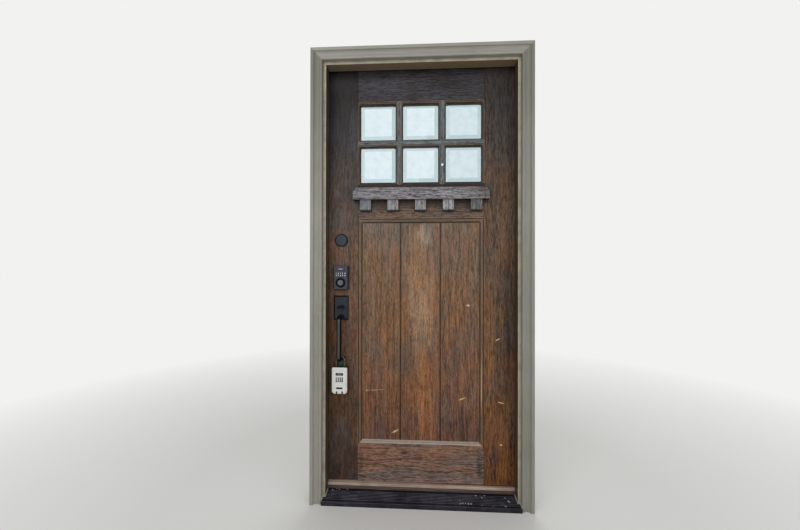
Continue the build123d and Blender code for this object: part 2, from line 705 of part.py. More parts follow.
def door_sweep():
    """The vinyl sweep: a tongue in the leaf's kerf, a base and fins that just clear the cap."""
    half = SWEEP_WIDTH / 2
    base_low = LEAF_BOTTOM - SWEEP_THICKNESS
    fin_low = CAP_TOP + SWEEP_CLEARANCE
    length = (-LEAF_HALF + BEYOND, LEAF_HALF - BEYOND)
    sweep_strip = block(*length, LEAF_MID - half, LEAF_MID + half, base_low, LEAF_BOTTOM)
    tongue = SWEEP_FIN_WIDTH / 2
    sweep_strip += block(*length, LEAF_MID - tongue, LEAF_MID + tongue,
                         base_low, LEAF_BOTTOM + SWEEP_KERF_DEPTH)
    pitch = (SWEEP_WIDTH - SWEEP_FIN_WIDTH) / (SWEEP_FIN_COUNT - 1)
    for y in evenly(LEAF_MID, SWEEP_FIN_COUNT, pitch):
        sweep_strip += block(*length, y - tongue, y + tongue, fin_low, LEAF_BOTTOM)
    return sweep_strip


# Frame: jambs, head, brickmould, weatherstrip and threshold


def jamb():
    """The leg on the positive side: rabbeted for the leaf, kerfed for the weatherstrip."""
    section = [
        (STOP_X, JAMB_FRONT), (JAMB_BACK_X, JAMB_FRONT), (JAMB_BACK_X, LEAF_IN), (RABBET_X, LEAF_IN),
        (RABBET_X, STOP_SHOULDER), (STOP_X, STOP_SHOULDER),
    ]
    piece = upright(section, 0, RABBET_Z)
    kerf_x = RABBET_X - KERF_INSET
    piece -= block(kerf_x - KERF_WIDTH, kerf_x, STOP_SHOULDER - KERF_DEPTH, STOP_SHOULDER + BEYOND,
                   CAP_TOP, RABBET_Z + BEYOND)
    for z in jamb_screw_heights():
        piece -= rod_x(LEAF_MID, z, JAMB_SCREW_RADIUS, STOP_X, JAMB_BACK_X + BEYOND)
    return piece


def jamb_screw_heights():
    return [JAMB_SCREW_LOWEST + index * JAMB_SCREW_SPACING for index in range(JAMB_SCREW_COUNT)]


def hinge_jamb():
    return jamb() - [jamb_hinge_mortise(z) for z in hinge_heights()]


def strike_jamb():
    piece = mirrored(jamb())
    for z in (UPPER_LOCK_HEIGHT, KEYPAD_LOCK_HEIGHT):
        piece -= strike_blank(z, STRIKE_HEIGHT, BEYOND)
        piece -= strike_pocket(z)
    piece -= latch_strike_blank(BEYOND)
    return piece - strike_pocket(LATCH_HEIGHT)


def head_jamb():
    """The head lies on both legs, with its stop running between theirs."""
    plank = block(-JAMB_BACK_X, JAMB_BACK_X, JAMB_FRONT, LEAF_IN, RABBET_Z, HEAD_TOP_Z)
    stop = block(-STOP_X, STOP_X, JAMB_FRONT, STOP_SHOULDER, STOP_Z, RABBET_Z)
    kerf_z = RABBET_Z - KERF_INSET
    kerf = block(-STOP_X - BEYOND, STOP_X + BEYOND, STOP_SHOULDER - KERF_DEPTH, STOP_SHOULDER + BEYOND,
                 kerf_z - KERF_WIDTH, kerf_z)
    return plank + stop - kerf


def mould_profile():
    """Brickmould section: u runs outwards from the inner edge, v runs forwards off the jamb."""
    cove_low = MOULD_NOSE_WIDTH
    cove_high = MOULD_WIDTH - MOULD_OUTER_WIDTH
    inner_v = MOULD_INNER_THICKNESS
    round_r = MOULD_EDGE_ROUND
    nose_turn = MOULD_NOSE * (1 - sqrt(0.5))
    nose = ThreePointArc((0, inner_v - MOULD_NOSE), (nose_turn, inner_v - nose_turn), (MOULD_NOSE, inner_v))
    edge_turn = round_r * (1 - sqrt(0.5))
    outer_round = ThreePointArc(
        (MOULD_WIDTH - round_r, MOULD_THICKNESS),
        (MOULD_WIDTH - edge_turn, MOULD_THICKNESS - edge_turn),
        (MOULD_WIDTH, MOULD_THICKNESS - round_r))
    step_v = MOULD_THICKNESS - round_r
    cove = ThreePointArc(
        (cove_low, inner_v - round_r),
        ((cove_low + cove_high) / 2, inner_v - MOULD_COVE_SINK),
        (cove_high, step_v - round_r))
    return Curve() + [
        Line((0, 0), (0, inner_v - MOULD_NOSE)), nose, Line((MOULD_NOSE, inner_v), (cove_low, inner_v)),
        Line((cove_low, inner_v), (cove_low, inner_v - round_r)), cove,
        Line((cove_high, step_v - round_r), (cove_high, step_v)),
        Line((cove_high, step_v), (cove_high + round_r, MOULD_THICKNESS)),
        Line((cove_high + round_r, MOULD_THICKNESS), (MOULD_WIDTH - round_r, MOULD_THICKNESS)), outer_round,
        Line((MOULD_WIDTH, MOULD_THICKNESS - round_r), (MOULD_WIDTH, 0)), Line((MOULD_WIDTH, 0), (0, 0)),
    ]


def mould_leg():
    """The leg on the positive side, standing on the ground line and mitred to the head."""
    plane = Plane(origin=(MOULD_INNER_X, JAMB_FRONT, 0), x_dir=(1, 0, 0), z_dir=(0, 0, -1))
    length = extrude(plane * make_face(mould_profile()), amount=MOULD_OUTER_Z, dir=(0, 0, 1))
    inner = MOULD_INNER_X - BEYOND
    outer = MOULD_OUTER_X + BEYOND
    corner = [(inner, 0), (outer, 0), (outer, MOULD_OUTER_Z + BEYOND), (inner, MOULD_INNER_Z - BEYOND)]
    return length & board(corner, MOULD_FRONT - BEYOND, JAMB_FRONT + BEYOND)


def mould_head():
    plane = Plane(origin=(-MOULD_OUTER_X, JAMB_FRONT, MOULD_INNER_Z), x_dir=(0, 0, 1), z_dir=(1, 0, 0))
    length = extrude(plane * make_face(mould_profile()), amount=2 * MOULD_OUTER_X, dir=(1, 0, 0))
    corner = [(-MOULD_INNER_X, MOULD_INNER_Z), (MOULD_INNER_X, MOULD_INNER_Z),
              (MOULD_OUTER_X, MOULD_OUTER_Z), (-MOULD_OUTER_X, MOULD_OUTER_Z)]
    return length & board(corner, MOULD_FRONT - BEYOND, JAMB_FRONT + BEYOND)


def weatherstrip_leg():
    """Foam strip with its barb in the kerf and its rounded face just off the leaf."""
    front = STOP_SHOULDER
    back = LEAF_OUT - WEATHER_CLEARANCE
    inner = RABBET_X - WEATHER_WIDTH
    section = [(RABBET_X, front), (inner, front), (inner, back - WEATHER_ROUND),
               (inner + WEATHER_ROUND, back), (RABBET_X, back)]
    kerf_x = RABBET_X - KERF_INSET
    strip = upright(section, CAP_TOP, RABBET_Z)
    return strip + block(kerf_x - KERF_WIDTH, kerf_x, front - KERF_DEPTH, front, CAP_TOP, RABBET_Z)


def weatherstrip_head():
    front = STOP_SHOULDER
    back = LEAF_OUT - WEATHER_CLEARANCE
    lower = RABBET_Z - WEATHER_WIDTH
    section = [(front, RABBET_Z), (front, lower), (back - WEATHER_ROUND, lower),
               (back, lower + WEATHER_ROUND), (back, RABBET_Z)]
    half = RABBET_X - WEATHER_WIDTH
    kerf_z = RABBET_Z - KERF_INSET
    strip = lengthwise(section, -half, half)
    return strip + block(-STOP_X, STOP_X, front - KERF_DEPTH, front, kerf_z - KERF_WIDTH, kerf_z)


def sill_length(section, horned):
    """A threshold section coped round the jambs.

    Horned, it also reaches out to the brickmould in front of them.
    """
    half = STOP_X - SILL_END_CLEARANCE
    piece = lengthwise(section, -half, half)
    reach = RABBET_X - SILL_END_CLEARANCE
    behind = STOP_SHOULDER + SILL_END_CLEARANCE
    if section_back(section) > behind:
        piece += lengthwise(section, -reach, reach) & block(
            -reach, reach, behind, LEAF_IN, 0, CAP_TOP)
    if horned:
        horn = MOULD_INNER_X - SILL_END_CLEARANCE
        piece += lengthwise(section, -horn, horn) & block(
            -horn, horn, MOULD_FRONT, JAMB_FRONT - SILL_END_CLEARANCE, 0, CAP_TOP)
    return piece


def section_back(section):
    return max(y for y, _ in section)


def deck_height(y):
    """Height of the deck's top surface, which falls from the rail to the nose."""
    fall = (DECK_BACK_HEIGHT - DECK_NOSE_HEIGHT) / (DECK_BACK - MOULD_FRONT)
    return DECK_NOSE_HEIGHT + fall * (y - MOULD_FRONT)


def threshold_deck():
    """The ribbed metal deck, bent down at its nose."""
    nose = MOULD_FRONT
    top = [(nose, deck_height(nose) - DECK_NOSE_CHAMFER), (nose + DECK_NOSE_CHAMFER, deck_height(nose))]
    first = (nose + DECK_BACK) / 2 - (DECK_RIB_COUNT - 1) / 2 * DECK_RIB_PITCH
    for index in range(DECK_RIB_COUNT):
        y = first + index * DECK_RIB_PITCH
        half = DECK_RIB_WIDTH / 2
        top += [(y - half, deck_height(y - half)), (y - half / 2, deck_height(y) + DECK_RIB_HEIGHT)]
        top += [(y + half / 2, deck_height(y) + DECK_RIB_HEIGHT), (y + half, deck_height(y + half))]
    inside = nose + DECK_THICKNESS
    section = [(nose, 0)] + top
    section += [(DECK_BACK, DECK_BACK_HEIGHT), (DECK_BACK, DECK_BACK_HEIGHT - DECK_THICKNESS)]
    section += [(inside, deck_height(inside) - DECK_THICKNESS), (inside, 0)]
    return sill_length(section, True)


def threshold_base():
    """The wooden sill that fills the deck, with a nose over its back edge and a flat for the cap."""
    inside = MOULD_FRONT + DECK_THICKNESS
    section = [
        (inside, 0), (inside, deck_height(inside) - DECK_THICKNESS),
        (DECK_BACK, DECK_BACK_HEIGHT - DECK_THICKNESS), (DECK_BACK, BASE_NOSE_UNDERSIDE),
        (BASE_NOSE_FRONT, BASE_NOSE_UNDERSIDE), (BASE_NOSE_FRONT, BASE_TOP - BASE_NOSE_CHAMFER),
        (BASE_NOSE_FRONT + BASE_NOSE_CHAMFER, BASE_TOP), (LEAF_IN, BASE_TOP), (LEAF_IN, 0),
    ]
    return sill_length(section, True)


def threshold_cap():
    """The oak cap under the leaf, rounded in front over a shadow line."""
    sunk = CAP_FRONT + CAP_SHADOW_DEPTH
    section = [
        (sunk, BASE_TOP), (sunk, BASE_TOP + CAP_SHADOW), (CAP_FRONT, BASE_TOP + CAP_SHADOW),
        (CAP_FRONT, CAP_TOP - CAP_ROUND), (CAP_FRONT + CAP_ROUND, CAP_TOP),
        (CAP_BACK - CAP_ROUND, CAP_TOP), (CAP_BACK, CAP_TOP - CAP_ROUND), (CAP_BACK, BASE_TOP),
    ]
    return sill_length(section, False)


# Hinges


def hinge_heights():
    top = LEAF_TOP - HINGE_FROM_TOP
    bottom = LEAF_BOTTOM + HINGE_FROM_BOTTOM
    return [bottom + (top - bottom) * index / (HINGE_COUNT - 1) for index in range(HINGE_COUNT)]


def hinge_plate(z, x_low, x_high):
    return block(x_low, x_high, LEAF_IN - HINGE_PLATE_REACH, HINGE_PIN_Y,
                 z - HINGE_HEIGHT / 2, z + HINGE_HEIGHT / 2)


def leaf_hinge_mortise(z):
    grow = HINGE_PLAY
    return block(LEAF_HALF - HINGE_PLATE, LEAF_HALF + BEYOND, LEAF_IN - HINGE_PLATE_REACH, LEAF_IN + BEYOND,
                 z - HINGE_HEIGHT / 2 - grow, z + HINGE_HEIGHT / 2 + grow)


def jamb_hinge_mortise(z):
    grow = HINGE_PLAY
    return block(RABBET_X - BEYOND, RABBET_X + HINGE_PLATE, LEAF_IN - HINGE_PLATE_REACH, LEAF_IN + BEYOND,
                 z - HINGE_HEIGHT / 2 - grow, z + HINGE_HEIGHT / 2 + grow)


def hinge_half(z, x_low, x_high, first_knuckle):
    """One leaf of a butt hinge, with every second knuckle starting from first_knuckle."""
    pitch = HINGE_HEIGHT / HINGE_KNUCKLES
    base = z - HINGE_HEIGHT / 2
    piece = hinge_plate(z, x_low, x_high)
    for index in range(HINGE_KNUCKLES):
        low = base + index * pitch + HINGE_KNUCKLE_GAP / 2
        high = base + (index + 1) * pitch - HINGE_KNUCKLE_GAP / 2
        if index % 2 == first_knuckle:
            piece += rod_z(HINGE_PIN_X, HINGE_PIN_Y, HINGE_BARREL_RADIUS, low, high)
        else:
            cleared = HINGE_BARREL_RADIUS + HINGE_CUT_CLEARANCE
            piece -= rod_z(HINGE_PIN_X, HINGE_PIN_Y, cleared,
                           low - HINGE_KNUCKLE_GAP, high + HINGE_KNUCKLE_GAP)
    bore = HINGE_PIN_RADIUS + HINGE_PIN_PLAY
    return piece - rod_z(HINGE_PIN_X, HINGE_PIN_Y, bore, base - BEYOND, base + HINGE_HEIGHT + BEYOND)


def jamb_hinge_leaf(z):
    return hinge_half(z, RABBET_X, RABBET_X + HINGE_PLATE, 0)


def door_hinge_leaf(z):
    return hinge_half(z, LEAF_HALF - HINGE_PLATE, LEAF_HALF, 1)


def hinge_pin(z):
    """The loose pin with a button head above and a ball tip below."""
    top = z + HINGE_HEIGHT / 2
    bottom = z - HINGE_HEIGHT / 2
    head = HINGE_PIN_HEAD
    crown = top + HINGE_PIN_HEAD_HEIGHT
    points = [
        (0, bottom - HINGE_PIN_RADIUS), (HINGE_PIN_RADIUS, bottom), (HINGE_PIN_RADIUS, top), (head, top),
        (head, (top + crown) / 2), (head / 2, crown), (0, crown),
    ]
    plane = Plane(origin=(HINGE_PIN_X, HINGE_PIN_Y, 0), x_dir=(1, 0, 0), z_dir=(0, -1, 0))
    return revolve(plane * Polygon(*points, align=None), axis=Axis((HINGE_PIN_X, HINGE_PIN_Y, 0), (0, 0, 1)))


# Bolts, cases and strikes


def faceplate(z, beyond=0):
    """The plate let into the leaf's edge; with beyond it is the cut that receives it."""
    half_width = FACEPLATE_WIDTH / 2
    half_height = FACEPLATE_HEIGHT / 2
    return block(-LEAF_HALF - beyond, -LEAF_HALF + FACEPLATE_THICKNESS, LEAF_MID - half_width,
                 LEAF_MID + half_width, z - half_height, z + half_height)


def bolt_case(z, bolt_reach):
    """A tubular case with its faceplate, the bolt's bore and the spindle's hole."""
    radius = EDGE_BORE / 2 - CASE_CLEARANCE
    tube = rod_x(LEAF_MID, z, radius, -LEAF_HALF + FACEPLATE_THICKNESS, LOCK_X + CASE_TAIL)
    piece = faceplate(z) + tube
    piece -= rod_x(LEAF_MID, z, BOLT_RADIUS + BOLT_PLAY, -LEAF_HALF - BEYOND, bolt_reach)
    return piece - rod_y(LOCK_X, z, SPINDLE_RADIUS + SPINDLE_PLAY, LEAF_OUT, LEAF_IN)


def bolt(z):
    """A round deadbolt, drawn back flush with its faceplate."""
    front = -LEAF_HALF + BOLT_SINK
    piece = rod_x(LEAF_MID, z, BOLT_RADIUS, front, front + BOLT_LENGTH)
    return chamfer(piece.edges().group_by(Axis.X)[0], BOLT_CHAMFER)


def latch_bolt():
    """The sprung latch, out in its strike, bevelled on the side that meets the strike's lip."""
    z = LATCH_HEIGHT
    tip = -LEAF_HALF - LATCH_THROW
    piece = rod_x(LEAF_MID, z, BOLT_RADIUS, tip, tip + LATCH_LENGTH)
    outside = LEAF_MID - BOLT_RADIUS - BEYOND
    inside = LEAF_MID + BOLT_RADIUS - LATCH_TIP
    ramp = [(tip - BEYOND, outside), (-LEAF_HALF - BEYOND, outside), (tip, inside), (tip - BEYOND, inside)]
    return piece - upright(ramp, z - BOLT_RADIUS - BEYOND, z + BOLT_RADIUS + BEYOND)


def strike_blank(z, height, beyond=0):
    half = STRIKE_WIDTH / 2
    return block(-RABBET_X - STRIKE_THICKNESS, -RABBET_X + beyond, LEAF_MID - half, LEAF_MID + half,
                 z - height / 2, z + height / 2)


def strike_pocket(z):
    """The hole that a bolt shoots into, right through the plate and the jamb."""
    half = BOLT_RADIUS + STRIKE_HOLE_MARGIN
    return block(-JAMB_BACK_X - BEYOND, -STOP_X, LEAF_MID - half, LEAF_MID + half, z - half, z + half)


def bolt_strike(z):
    return strike_blank(z, STRIKE_HEIGHT) - strike_pocket(z)


def latch_strike_blank(beyond=0):
    half = STRIKE_WIDTH / 2
    return block(-RABBET_X - STRIKE_THICKNESS, -RABBET_X + beyond, LEAF_MID - half, LEAF_IN + beyond,
                 LATCH_HEIGHT - LATCH_STRIKE_HEIGHT / 2, LATCH_HEIGHT + LATCH_STRIKE_HEIGHT / 2)


def latch_strike():
    """The latch's strike, with a lip curled back round the edge of the jamb."""
    half = BOLT_RADIUS + STRIKE_HOLE_MARGIN
    curl_y = LEAF_IN + LATCH_STRIKE_LIP
    curl_x = -RABBET_X - LATCH_STRIKE_LIP / 2
    lip = [(-RABBET_X, LEAF_IN), (curl_x, curl_y), (curl_x - STRIKE_THICKNESS, curl_y),
           (-RABBET_X - STRIKE_THICKNESS, LEAF_IN)]
    plate = latch_strike_blank() + upright(lip, LATCH_HEIGHT - half, LATCH_HEIGHT + half)
    return plate - strike_pocket(LATCH_HEIGHT)


# Round roses, thumbturns and the inside lever


def rose_profile(radius, hole):
    """A bevelled disc with a fine groove round its face, solid or with a hole."""
    inner = radius - ROSE_BEVEL
    groove = inner - ROSE_BEVEL / 2
    return [
        (hole, 0), (radius, 0), (radius, ROSE_THICKNESS - ROSE_BEVEL), (inner, ROSE_THICKNESS),
        (groove, ROSE_THICKNESS), (groove - ROSE_GROOVE / 2, ROSE_THICKNESS - ROSE_GROOVE),
        (groove - ROSE_GROOVE, ROSE_THICKNESS), (hole, ROSE_THICKNESS),
    ]


def blank_rose():
    """The blank disc that covers the upper lock outside."""
    return turned(rose_profile(ROSE_RADIUS, 0), LOCK_X, LEAF_OUT, UPPER_LOCK_HEIGHT, -1)


def inside_rose(z, radius, hole):
    return turned(rose_profile(radius, hole), LOCK_X, LEAF_IN, z, 1)


def thumbturn(z, y_face):
    """A turn on its hub, with the spindle that works the bolt."""
    hub_y = y_face + TURN_GAP
    paddle_y = hub_y + TURN_HUB_HEIGHT
    hub = rod_y(LOCK_X, z, TURN_HUB_RADIUS, hub_y, paddle_y)
    paddle = rounded_slab(LOCK_X, z, TURN_THICKNESS, TURN_WIDTH, TURN_THICKNESS / 2 - ROUND_END_FLAT,
                          paddle_y, paddle_y + TURN_HEIGHT)
    paddle = chamfer(back_edges(paddle), TURN_CHAMFER)
    spindle = rod_y(LOCK_X, z, SPINDLE_RADIUS, LEAF_OUT + ROSE_BEVEL, hub_y)
    return hub + paddle + spindle


def inside_lever():
    """The lever inside: a neck out of its rose and a handle towards the hinges."""
    z = LATCH_HEIGHT
    neck_end = LEAF_IN + ROSE_THICKNESS + LEVER_NECK_LENGTH
    neck = rod_y(LOCK_X, z, LEVER_NECK_RADIUS, LEAF_IN + TURN_GAP, neck_end)
    grip = rounded_slab(LOCK_X + LEVER_LENGTH / 2 - LEVER_HEIGHT / 2, z, LEVER_LENGTH, LEVER_HEIGHT,
                        LEVER_HEIGHT / 2 - ROUND_END_FLAT, neck_end - LEVER_THICKNESS, neck_end)
    grip = fillet(front_edges(grip) + back_edges(grip), LEVER_ROUND)
    spindle = rod_y(LOCK_X, z, SPINDLE_RADIUS, LEAF_OUT + PLATE_THICKNESS, LEAF_IN + TURN_GAP)
    return neck + grip + spindle


# Keypad lock


def key_places():
    return evenly(LOCK_X, KEY_COUNT, KEY_PITCH)


def key(x):
    """One tall key that carries two numbers."""
    width = KEY_WIDTH - 2 * KEY_CLEARANCE
    height = KEY_HEIGHT - 2 * KEY_CLEARANCE
    piece = rounded_slab(x, KEY_ROW_Z, width, height, KEY_EDGE_ROUND,
                         KEYPAD_FRONT - KEY_PROUD, KEYPAD_FRONT - KEY_PROUD + KEY_DEPTH)
    return chamfer(front_edges(piece), KEY_EDGE_ROUND / 2)


def oval(width, height, y_low, y_high):
    face = Plane.XZ.offset(-y_high) * Pos(LOCK_X, LOCK_BUTTON_Z) * Ellipse(width / 2, height / 2)
    return extrude(face, amount=y_high - y_low)


def lock_button():
    """The oval button above the keys, with a low crown."""
    grow = 2 * KEY_CLEARANCE
    front = KEYPAD_FRONT - KEY_PROUD
    piece = oval(LOCK_BUTTON_WIDTH - grow, LOCK_BUTTON_HEIGHT - grow, front, front + KEY_DEPTH)
    return chamfer(front_edges(piece), LOCK_BUTTON_DOME)


def keypad_plate():
    piece = rounded_slab(LOCK_X, KEYPAD_Z, KEYPAD_WIDTH, KEYPAD_HEIGHT, KEYPAD_CORNER,
                         KEYPAD_FRONT, LEAF_OUT)
    piece = chamfer(front_edges(piece), KEYPAD_CHAMFER)
    for x in key_places():
        piece -= rounded_slab(x, KEY_ROW_Z, KEY_WIDTH, KEY_HEIGHT, KEY_EDGE_ROUND,
                              KEYPAD_FRONT - BEYOND, KEY_POCKET_BACK)
    piece -= oval(LOCK_BUTTON_WIDTH, LOCK_BUTTON_HEIGHT, KEYPAD_FRONT - BEYOND, KEY_POCKET_BACK)
    bore = KEY_CYLINDER_RADIUS + KEY_CYLINDER_CLEARANCE
    return piece - rod_y(LOCK_X, KEYPAD_LOCK_HEIGHT, bore, KEYPAD_FRONT - BEYOND, LEAF_OUT + BEYOND)


def key_guard():
    """The black ring round the key cylinder."""
    height = KEY_GUARD_HEIGHT
    bore = KEY_CYLINDER_RADIUS + KEY_CYLINDER_CLEARANCE
    profile = [(bore, 0), (KEY_GUARD_RADIUS, 0), (KEY_GUARD_RADIUS, height / 2),
               (KEY_GUARD_RADIUS - height / 2, height), (bore, height)]
    return turned(profile, LOCK_X, KEYPAD_FRONT, KEYPAD_LOCK_HEIGHT, -1)


def key_cylinder():
    """The cylinder's body: dished round the plug, with a raised rim."""
    radius = KEY_CYLINDER_RADIUS
    height = KEY_CYLINDER_HEIGHT
    bevel = KEY_CYLINDER_BEVEL
    dished = height - KEY_CYLINDER_DISH
    rim = radius - KEY_CYLINDER_RIM
    bore = KEY_PLUG_RADIUS + KEY_PLUG_PLAY
    profile = [(bore, -KEYPAD_THICKNESS), (radius, -KEYPAD_THICKNESS), (radius, height - bevel),
               (radius - bevel, height), (rim, height), (rim - bevel, dished), (bore, dished)]
    return turned(profile, LOCK_X, KEYPAD_FRONT, KEYPAD_LOCK_HEIGHT, -1)


def key_plug():
    """The turning plug with its keyway."""
    front = KEYPAD_FRONT - KEY_CYLINDER_HEIGHT + KEY_PLUG_SET
    piece = rod_y(LOCK_X, KEYPAD_LOCK_HEIGHT, KEY_PLUG_RADIUS, front, front + KEY_PLUG_LENGTH)
    half = KEYWAY_WIDTH / 2
    return piece - block(LOCK_X - half, LOCK_X + half, front - BEYOND, front + KEYWAY_DEPTH,
                         KEYPAD_LOCK_HEIGHT - KEYWAY_HEIGHT / 2, KEYPAD_LOCK_HEIGHT + KEYWAY_HEIGHT / 2)


def inside_lock_cover():
    """The housing inside for the keypad's batteries, round the lower thumbturn."""
    z = KEYPAD_LOCK_HEIGHT + INSIDE_COVER_RISE
    back = LEAF_IN + INSIDE_COVER_THICKNESS
    piece = rounded_slab(LOCK_X, z, INSIDE_COVER_WIDTH, INSIDE_COVER_HEIGHT, INSIDE_COVER_CORNER,
                         LEAF_IN, back)
    piece = chamfer(back_edges(piece), INSIDE_COVER_BEVEL)
    bore = SPINDLE_RADIUS + SPINDLE_PLAY
    return piece - rod_y(LOCK_X, KEYPAD_LOCK_HEIGHT, bore, LEAF_IN - BEYOND, back + BEYOND)


# Outside handle


def handle_plate():
    """The bevelled plate, slotted for the thumb piece and drilled for its pivot."""
    z = LATCH_HEIGHT + PLATE_RISE
    piece = block(LOCK_X - PLATE_WIDTH / 2, LOCK_X + PLATE_WIDTH / 2, PLATE_FRONT, LEAF_OUT,
                  z - PLATE_HEIGHT / 2, z + PLATE_HEIGHT / 2)
    piece = chamfer(front_edges(piece), PLATE_BEVEL)
    half = THUMB_WIDTH / 2 + THUMB_SLOT_CLEARANCE
    piece -= block(LOCK_X - half, LOCK_X + half, PLATE_FRONT - BEYOND, LEAF_OUT + BEYOND,
                   THUMB_HEIGHT - THUMB_SWEEP_ROOM, THUMB_HEIGHT + THUMB_SWEEP_ROOM)
    bore = THUMB_PIN_RADIUS + THUMB_PLAY
    length = half + THUMB_PIVOT_RADIUS
    return piece - rod_x(THUMB_PIVOT_Y, THUMB_HEIGHT, bore, LOCK_X - length, LOCK_X + length)


def thumb_piece():
    """The curved thumb piece, with its pivot pin across and a tail into the lock."""
    half = THUMB_WIDTH / 2
    top = THUMB_HEIGHT + THUMB_THICKNESS / 2
    bottom = THUMB_HEIGHT - THUMB_THICKNESS / 2
    tip_y = PLATE_FRONT - THUMB_REACH
    tip_z = THUMB_HEIGHT - THUMB_DROP
    bend_y = (THUMB_PIVOT_Y + tip_y) / 2
    under_y = tip_y + THUMB_THICKNESS / 2
    under_z = tip_z - THUMB_THICKNESS
    over = ThreePointArc((THUMB_PIVOT_Y, top), (bend_y, top + THUMB_ARCH), (tip_y, tip_z))
    under = ThreePointArc((under_y, under_z), (bend_y, bottom + THUMB_ARCH), (THUMB_PIVOT_Y, bottom))
    outline = Curve() + [over, Line((tip_y, tip_z), (under_y, under_z)),
                         under, Line((THUMB_PIVOT_Y, bottom), (THUMB_PIVOT_Y, top))]
    piece = extrude(Plane.YZ.offset(LOCK_X - half) * make_face(outline), amount=2 * half)
    tail_y = LEAF_OUT + THUMB_TAIL
    tail = [(THUMB_PIVOT_Y, bottom), (tail_y, bottom - THUMB_TAIL_DROP), (tail_y, top - THUMB_TAIL_DROP),
            (THUMB_PIVOT_Y, top)]
    piece += lengthwise(tail, LOCK_X - THUMB_TAIL_WIDTH / 2, LOCK_X + THUMB_TAIL_WIDTH / 2)
    piece += rod_x(THUMB_PIVOT_Y, THUMB_HEIGHT, THUMB_PIVOT_RADIUS, LOCK_X - half, LOCK_X + half)
    length = half + THUMB_SLOT_CLEARANCE + THUMB_PIVOT_RADIUS - THUMB_PLAY
    return piece + rod_x(THUMB_PIVOT_Y, THUMB_HEIGHT, THUMB_PIN_RADIUS, LOCK_X - length, LOCK_X + length)


def grip():
    """The pull: a bar chamfered in front, bent back to the plate above and to its foot below."""
    foot_y = LEAF_OUT - GRIP_FOOT_THICKNESS
    points = [(LOCK_X, PLATE_FRONT, GRIP_TOP), (LOCK_X, GRIP_Y, GRIP_TOP), (LOCK_X, GRIP_Y, GRIP_BOTTOM),
              (LOCK_X, foot_y, GRIP_BOTTOM)]
    path = FilletPolyline(*points, radius=GRIP_BEND)
    half = GRIP_WIDTH / 2
    depth = GRIP_DEPTH / 2
    flat = half - GRIP_CHAMFER
    shoulder = depth - GRIP_CHAMFER
    # At the start the bar runs forwards, so the side that ends up in front is on top
    start = Plane(origin=points[0], x_dir=(1, 0, 0), z_dir=(0, -1, 0))
    section = Polygon((-half, -depth), (half, -depth), (half, shoulder), (flat, depth),
                      (-flat, depth), (-half, shoulder), align=None)
    bar = sweep(start * section, path=path)
    foot_z = GRIP_BOTTOM - GRIP_FOOT_DROP
    foot = block(LOCK_X - GRIP_FOOT_WIDTH / 2, LOCK_X + GRIP_FOOT_WIDTH / 2, foot_y, LEAF_OUT,
                 foot_z - GRIP_FOOT_HEIGHT / 2, foot_z + GRIP_FOOT_HEIGHT / 2)
    return bar + chamfer(front_edges(foot), GRIP_FOOT_CHAMFER)


# Key safe


def safe_casting():
    """The body's rounded box, whose bottom corners are rounder than its top ones."""
    casting = block(LOCK_X - SAFE_WIDTH / 2, LOCK_X + SAFE_WIDTH / 2, SAFE_FRONT, SAFE_FRONT + SAFE_DEPTH,
                    SAFE_BOTTOM, SAFE_TOP)
    corners = casting.edges().filter_by(Axis.Y)
    casting = fillet(corners.group_by(Axis.Z)[-1], SAFE_TOP_ROUND)
    corners = casting.edges().filter_by(Axis.Y)
    casting = fillet(corners.group_by(Axis.Z)[0], SAFE_BOTTOM_ROUND)
    return fillet(front_edges(casting) + back_edges(casting), SAFE_EDGE_ROUND)


def safe_cover_block(grow, y_low, y_high):
    """The cover's outline inside the rim of the body, grown or shrunk by its gap."""
    width = SAFE_WIDTH - 2 * SAFE_COVER_MARGIN + 2 * grow
    height = SAFE_HEIGHT - SAFE_COVER_TOP - SAFE_COVER_MARGIN + 2 * grow
    centre = SAFE_BOTTOM + SAFE_COVER_MARGIN - grow + height / 2
    return rounded_slab(LOCK_X, centre, width, height, SAFE_COVER_ROUND, y_low, y_high)


def wheel_places():
    return evenly(LOCK_X, WHEEL_COUNT, WHEEL_PITCH)


def key_safe_body():
    """The cast body: rounded edges, a recess for the cover and room for the wheels behind it."""
    recess_back = SAFE_FRONT + SAFE_COVER_THICKNESS
    body = safe_casting() - safe_cover_block(SAFE_COVER_GAP, SAFE_FRONT - BEYOND, recess_back)
    room = WHEEL_RADIUS + WHEEL_CLEARANCE
    body -= block(LOCK_X - WHEEL_ROW_HALF, LOCK_X + WHEEL_ROW_HALF, SAFE_FRONT, WHEEL_Y + room,
                  WHEEL_Z - room, WHEEL_Z + room)
    half = SAFE_NOTCH_WIDTH / 2
    for x in evenly(LOCK_X, 2, SAFE_NOTCH_SPACING):
        body -= block(x - half, x + half, SAFE_FRONT - BEYOND, recess_back,
                      SAFE_BOTTOM - BEYOND, SAFE_BOTTOM + SAFE_NOTCH_HEIGHT)
    bore = SHACKLE_RADIUS + SHACKLE_PLAY
    for x in evenly(LOCK_X, 2, SHACKLE_SPREAD):
        body -= rod_z(x, SAFE_Y, bore, SAFE_TOP - SHACKLE_LEG_DEPTH, SAFE_TOP + BEYOND)
    return body


